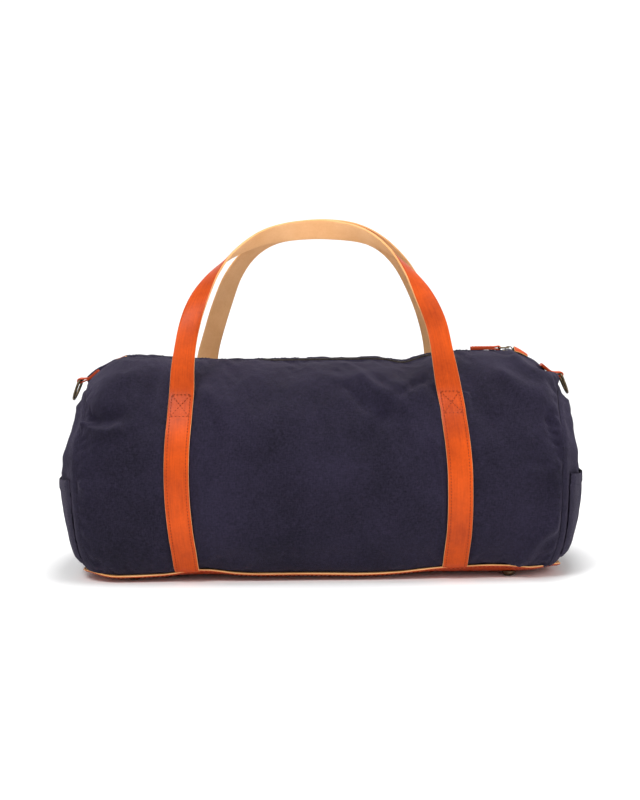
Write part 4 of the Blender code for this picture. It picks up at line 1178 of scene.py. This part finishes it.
def tooth_row(name, side, end):
    verts, faces = [], []
    near, far = sorted((side * -0.55 * MM, side * 2.5 * MM))
    shift = 0.75 if side > 0 else 0.25
    for k in range(int(CHAIN_X / TOOTH_PITCH)):
        x = end * (k + shift) * TOOTH_PITCH
        low, high = (x - 0.62 * MM, near, TEETH_LOW), (x + 0.62 * MM, far, TEETH_HIGH)
        corners, sides = box_verts(low, high, (0.15 * MM, 0.25 * MM))
        faces += [tuple(len(verts) + v for v in face) for face in sides]
        verts += corners
    teeth = plain_mesh(name, settle(verts), faces, TEETH, 30)
    bevel = teeth.modifiers.new("edges", "BEVEL")
    bevel.width = 0.18 * MM
    bevel.segments = 2
    return teeth


def tape_strip(name, side, end):
    xs = np.linspace(0, end * (SLOT_HALF_LENGTH + 1 * MM), 86)
    ys = side * np.array((1.6, 2.2, 2.6, 3.6, 5.0, 7.5, 10.0, 12.6)) * MM
    out = np.abs(ys)
    cord = 0.5 * MM * bell(out, 2.3 * MM, 0.5 * MM)
    height = TAPE_TOP + 0.25 * MM + cord - 0.25 * MM * (out > 7 * MM)
    points = np.stack(np.broadcast_arrays(xs[:, None], ys[None, :], height[None, :]), axis=-1)
    points = settle(points)
    normals, uvs = grid_normals(points), points[..., :2]
    return cloth_patch(name, points, normals, uvs, every_cell(points), [TAPE], 0.6 * MM)


def zip_half(side, end):
    """Tape and teeth of one side of the chain, from the middle to one end."""
    face, where = FACES[side], ENDS[end]
    teeth = tooth_row(f"zip_teeth_{face}_{where}_row", side, end)
    tape = tape_strip(f"zip_tape_{face}_{where}_strip", side, end)
    for piece, kind, slot in ((teeth, "teeth", "antique_brass"), (tape, "tape", "zip_tape")):
        blend_lip(piece)
        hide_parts(f"zip_{kind}_{face}_{where}")
        if end < 0:
            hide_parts(f"zip_{kind}_{face}_mid")


def zip_edge_stitches(side, points, normals, stations):
    """A row of stitches along the folded canvas edge beside the chain."""
    face = FACES[side]
    column = points.shape[1] - 3
    for end in (-1, 1):
        chosen = (stations * end >= -1e-9) & (np.abs(stations) <= LIP_X)
        line, up = points[chosen, column], normals[chosen, column]
        if end < 0:
            line, up = line[::-1], up[::-1]
        stitches = stitch_row(line + up * 0.12 * MM, up, 3.6 * MM, 2.7 * MM)
        obj = stitch_mesh(f"zip_stitching_{face}_{ENDS[end]}", stitches, 0.3 * MM, NAVY_THREAD)
        blend_lip(obj)


def wire_mesh(name, points, radius, material, sides=14):
    """A closed loop of round wire."""
    points = np.asarray(points, float)
    along = unit(np.roll(points, -1, axis=0) - np.roll(points, 1, axis=0))
    middle = points.mean(0)
    plane = unit(np.cross(points[0] - middle, points[len(points) // 4] - middle))
    verts = []
    for centre, side in zip(points, np.cross(along, plane)):
        for angle in 2 * math.pi * np.arange(sides) / sides:
            verts.append(centre + radius * (side * math.cos(angle) + plane * math.sin(angle)))
    faces = np.array(tube_faces(len(points) + 1, sides)[:-2]) % len(verts)
    obj = plain_mesh(name, verts, faces, material)
    bm = bmesh.new()
    bm.from_mesh(obj.data)
    bmesh.ops.recalc_face_normals(bm, faces=bm.faces)
    bm.to_mesh(obj.data)
    bm.free()
    return obj


def slider_body(low, high):
    """The slider's top plate, rounded in plan, on two cheeks."""
    middle_x, half = (low[0] + high[0]) / 2, (high[0] - low[0]) / 2
    bm = bmesh.new()
    outline = [
        (-1.0, 0.62), (-0.72, 0.80), (-0.2, 0.86), (0.25, 1.0), (0.62, 1.0), (0.85, 0.82),
        (1.0, 0.45),
    ]
    loop = outline + [(u, -v) for u, v in reversed(outline)]
    rings = []
    levels = [(PLATE_LOW, 0.96), (PLATE_LOW + 0.3 * MM, 1.0)]
    levels += [(PLATE_HIGH - 0.3 * MM, 1.0), (PLATE_HIGH, 0.92)]
    for z, grow in levels:
        ring = [(middle_x + u * half * grow, v * high[1] * grow, z) for u, v in loop]
        rings.append([bm.verts.new(place) for place in ring])
    for near, far in zip(rings, rings[1:]):
        for k in range(len(loop)):
            following = (k + 1) % len(loop)
            bm.faces.new((near[k], near[following], far[following], far[k]))
    bm.faces.new(rings[0][::-1])
    bm.faces.new(rings[-1])
    for side in (-1, 1):
        y0, y1 = sorted((side * 3.05 * MM, side * 4.3 * MM))
        middle = (middle_x, (y0 + y1) / 2, (low[2] + PLATE_LOW) / 2 + 0.1 * MM)
        size = Matrix.Diagonal((half * 1.15, y1 - y0, PLATE_LOW - low[2] + 0.2 * MM, 1))
        bmesh.ops.create_cube(bm, size=1.0, matrix=Matrix.Translation(middle) @ size)
    bmesh.ops.recalc_face_normals(bm, faces=bm.faces)
    mesh = bpy.data.meshes.new("zip_slider_body")
    bm.to_mesh(mesh)
    bm.free()
    mesh.materials.append(BRASS)
    slider = bpy.data.objects.new("zip_slider_body", mesh)
    bpy.context.scene.collection.objects.link(slider)
    bevel = slider.modifiers.new("edges", "BEVEL")
    bevel.width = 0.25 * MM
    bevel.segments = 2
    bevel.limit_method = "ANGLE"
    finish_piece(slider, "slider", ["zip_slider"])


def slider_bridge(middle_x):
    """The little arch on the slider that holds the pull's ring."""
    angles = math.pi * np.arange(25) / 24
    rise = PLATE_HIGH - 0.4 * MM + 4.3 * MM * np.abs(np.sin(angles)) ** 0.75
    arch = np.column_stack([middle_x - 3.9 * MM * np.cos(angles), 0 * angles, rise])
    bridge = ribbon("zip_slider_bridge", arch, arch_facings(arch), 2.2 * MM, 1.0 * MM)
    mesh = bridge.data
    mesh.materials.clear()
    mesh.materials.append(BRASS)
    mesh.polygons.foreach_set("material_index", np.zeros(len(mesh.polygons), np.int32))
    finish_piece(bridge, "slider")


def slider_and_pull():
    low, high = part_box("zip_slider")
    slider_body(low, high)
    slider_bridge((low[0] + high[0]) / 2)
    ring_low, ring_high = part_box("zip_pull_ring")
    radius = (ring_high[2] - ring_low[2]) / 2
    x0, x1 = ring_low[0] + radius, ring_high[0] - radius
    z = (ring_low[2] + ring_high[2]) / 2
    outline = rounded_outline((x1 - x0) / 2, ring_high[1] - radius, 1.6 * MM, 6)
    points = [((x0 + x1) / 2 + u, v, z) for u, v in outline]
    ring = wire_mesh("zip_pull_wire", points, radius, BRASS, 12)
    finish_piece(ring, "pull", ["zip_pull_ring"])
    leather_pull(x0, z)


def arch_facings(arch):
    facing = unit(np.cross(np.gradient(arch, axis=0), np.array([0.0, 1.0, 0.0])))
    return facing * np.where(facing[len(arch) // 2, 2] < 0, -1, 1)


def folded_path(start, far, bar, layer, bar_radius, side=1, steps=10):
    """A strip in the x-z plane from its end to a bar, round it and back: places, facings."""
    start, far, bar = (np.asarray(v, float) for v in (start, far, bar))
    heading = unit(bar - far)
    first = unit(far - start)
    normal, first_normal = (np.array((-way[1], way[0])) for way in (heading, first))
    turn = bar_radius + layer / 2
    offset = layer / 2 + 0.05 * MM
    run = np.linspace(0, 1, 7)[:-1]

    def outer_layer(sign):
        made = [(start + (far - start) * t + sign * first_normal * offset, sign * first_normal)
                for t in run]
        for t in run[1:]:
            widen = offset + (turn - offset) * t * t
            made.append((far + (bar - far) * t + sign * normal * widen, sign * normal))
        return made

    rounds = []
    for angle in math.pi * np.arange(steps + 1) / steps:
        direction = normal * math.cos(angle) + heading * math.sin(angle)
        rounds.append((bar + direction * turn, direction))
    pairs = np.array(outer_layer(1) + rounds + outer_layer(-1)[::-1])
    flat = np.zeros(len(pairs))
    return [np.column_stack([side * v[:, 0], flat, v[:, 1]]) for v in (pairs[:, 0], pairs[:, 1])]


def leather_pull(bar_x, z):
    """The leather pull: a strip folded through the ring, narrower where it holds it."""
    low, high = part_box("zip_pull_leather")
    layer = 1.75 * MM
    far = (bar_x - 9 * MM, z)
    centres, grain = folded_path((low[0] + 0.5 * MM, z), far, (bar_x, z), layer, 0.85 * MM)
    widths = 1 - 0.42 * smooth((centres[:, 0] - bar_x + 4 * MM) / (4 * MM))
    width = high[1] - low[1]
    pull = ribbon("zip_pull_tab", centres, grain, width, layer, widths, BASE_GRAIN)
    finish_piece(pull, "pull", ["zip_pull_leather"])
    inner = high[1] - 2.0 * MM
    x0, x1 = low[0] + 3 * MM, bar_x - 7 * MM
    corners = [(x1, inner), (x0, inner), (x0, -inner), (x1, -inner), (x1, inner)]
    line = [(x, y, z + layer + 0.15 * MM) for x, y in corners]
    stitches = stitch_row(line, np.tile((0.0, 0.0, 1.0), (len(line), 1)), 3.0 * MM, 2.2 * MM)
    thread = stitch_mesh("zip_pull_stitching", stitches, 0.3 * MM, THREAD)
    finish_piece(thread, "pull")


def zip_end_tab(end):
    """A leather tab over the end of the zip: tented by the slider, pressed flat far from it."""
    above, tent = (1.3, 4.4) if end > 0 else (0.9, 0.2)
    share, across = np.linspace(0, 1, 15)[:, None], np.linspace(-1, 1, 25)[None, :]
    x = 0.2085 + 0.0145 * share
    y = 10.5 * MM * (1 - 0.66 * share) * across
    ridge = (1 - np.abs(across) ** 1.4) * (1 - 0.55 * share)
    z = crest(x) + (above + tent * ridge) * MM
    points = np.stack(np.broadcast_arrays(end * x, y, z), axis=-1)
    normals = grid_normals(points)
    name = f"zip_end_tab_{ENDS[end]}"
    cells, uvs = every_cell(points), points[..., :2]
    finishes = [GRAIN, EDGE, FLESH]
    tab = cloth_patch(f"{name}_fold", points, normals, uvs, cells, finishes, 1.8 * MM)
    finish_piece(tab, "bag", [name])
    loop = ([2, 12, 12, 2, 2], [4, 5, 19, 20, 4])
    sew(f"{name}_stitching", points[loop], normals[loop], 3.0, 2.2, 0.3, THREAD)


# ------------------------------------------------------------------ D-rings
def d_ring(end):
    where = ENDS[end]
    axis = joints[f"{where}_ring_hinge"]["pos_m"]
    radius = 1.4 * MM
    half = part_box(f"d_ring_{where}")[1][1] - radius
    lean = math.radians(22)
    drop, straight = 21.5 * MM, 1.2 * MM
    flat = [(u, 0.0) for u in np.linspace(-half + 1.5 * MM, half - 1.5 * MM, 12)]
    for angle in math.pi * np.arange(49) / 48:
        fall = (drop - straight) * abs(math.sin(angle)) ** 0.9
        flat.append((half * math.cos(angle), straight + fall))
    points = [
        (axis[0] + end * down * math.sin(lean), u, axis[2] - down * math.cos(lean))
        for u, down in flat
    ]
    ring = wire_mesh(f"d_ring_{where}_wire", points, radius, BRASS)
    finish_piece(ring, f"ring_{where}", [f"d_ring_{where}"])
    layer = 1.55 * MM
    bar = (abs(axis[0]), axis[2])
    centres, grain = folded_path((0.2375, 0.2112), (0.2475, 0.2027), bar, layer, 1.6 * MM, end)
    tab_low, tab_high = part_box(f"d_ring_tab_{where}")
    width = tab_high[1] - tab_low[1]
    tab = ribbon(f"d_ring_tab_{where}_fold", centres, grain, width, layer, edge=BASE_GRAIN)
    finish_piece(tab, "bag", [f"d_ring_tab_{where}"])


# ------------------------------------------------------------------ what stays from the CAD
def keep_hidden_parts():
    """Inner pieces whose CAD shape is right get the object's own finishes."""
    for name in frame["nodes"]:
        finish = BOARD if name == "base_board" else BRASS if name.startswith("foot_washer") else None
        obj = bpy.data.objects.get(name)
        if finish and obj:
            for slot in obj.material_slots:
                slot.material = finish


# ------------------------------------------------------------------ camera, light and floor
TARGET = Vector((0.0, 0.0, 0.176))
CAMERA_DISTANCE = 1.6
CAMERA_AZIMUTH = math.radians(1.0)
CAMERA_ELEVATION = math.radians(5.0)
CAMERA_ROLL = math.radians(0.85)
FOCAL_PER_HEIGHT = 1.857


def make_camera():
    flat = math.cos(CAMERA_ELEVATION)
    side, back = math.sin(CAMERA_AZIMUTH) * flat, -math.cos(CAMERA_AZIMUTH) * flat
    away = Vector((side, back, math.sin(CAMERA_ELEVATION)))
    right = (-away).cross(Vector((0, 0, 1))).normalized()
    up = right.cross(-away)
    rolled = right * math.cos(CAMERA_ROLL) - up * math.sin(CAMERA_ROLL)
    upright = up * math.cos(CAMERA_ROLL) + right * math.sin(CAMERA_ROLL)
    data = bpy.data.cameras.new("camera")
    data.sensor_fit = "VERTICAL"
    data.sensor_height = 36.0
    data.lens = 36.0 * FOCAL_PER_HEIGHT
    data.clip_end = 50.0
    camera = bpy.data.objects.new("camera", data)
    turn = Matrix((rolled, upright, away)).transposed().to_4x4()
    camera.matrix_world = Matrix.Translation(TARGET + away * CAMERA_DISTANCE) @ turn
    bpy.context.scene.collection.objects.link(camera)
    bpy.context.scene.camera = camera


def area_light(name, place, look, size, power):
    data = bpy.data.lights.new(name, "AREA")
    data.shape = "RECTANGLE"
    data.size, data.size_y = size
    data.energy = power
    light = bpy.data.objects.new(name, data)
    light.location = place
    light.rotation_euler = (Vector(look) - Vector(place)).to_track_quat("-Z", "Y").to_euler()
    bpy.context.scene.collection.objects.link(light)


def make_studio():
    """White surroundings, a floor that curves up into a wall, and three soft lights."""
    scene = bpy.context.scene
    scene.view_settings.view_transform = "Standard"
    world = bpy.data.worlds.new("studio")
    world.use_nodes = True
    background = world.node_tree.nodes["Background"]
    background.inputs["Color"].default_value = (1.0, 1.0, 1.0, 1.0)
    background.inputs["Strength"].default_value = 0.66
    scene.world = world
    material, _, shader = new_material("pale_floor")
    tune(shader, Base_Color=(0.93, 0.93, 0.93, 1.0), Roughness=0.9, Specular_IOR_Level=0.1)
    cove, back = 1.2, 1.2
    steps = [(-3.0, 0.0), (back, 0.0)]
    for angle in math.pi / 2 * np.arange(1, 17) / 16:
        steps.append((back + cove * math.sin(angle), cove - cove * math.cos(angle)))
    steps.append((back + cove, 4.0))
    verts = [(x, y, z) for y, z in steps for x in (-5.0, 5.0)]
    faces = [(2 * k, 2 * k + 1, 2 * k + 3, 2 * k + 2) for k in range(len(steps) - 1)]
    make_mesh("studio_floor", verts, faces, [material])
    area_light("key", (-0.8, -1.5, 1.9), (0, 0, 0.15), (0.7, 0.5), 27)
    area_light("top", (0.2, 0.0, 2.2), (0, 0, 0.1), (1.6, 1.0), 34)
    area_light("side", (1.8, -0.9, 0.8), (0, 0, 0.18), (0.7, 0.9), 10)


make_camera()
make_studio()
for side, handle in ((-1, FRONT_HANDLE), (1, REAR_HANDLE)):
    body_points, body_normals, body_columns = dress_body(side)
    zip_edge_stitches(side, body_points, body_normals, body_columns)
    strap_loop(side, handle)
    for end in (-1, 1):
        zip_half(side, end)
for end in (-1, 1):
    end_panel(end)
    end_pocket(end)
    zip_end_tab(end)
    d_ring(end)
base_sheet()
feet()
lining()
slider_and_pull()
keep_hidden_parts()
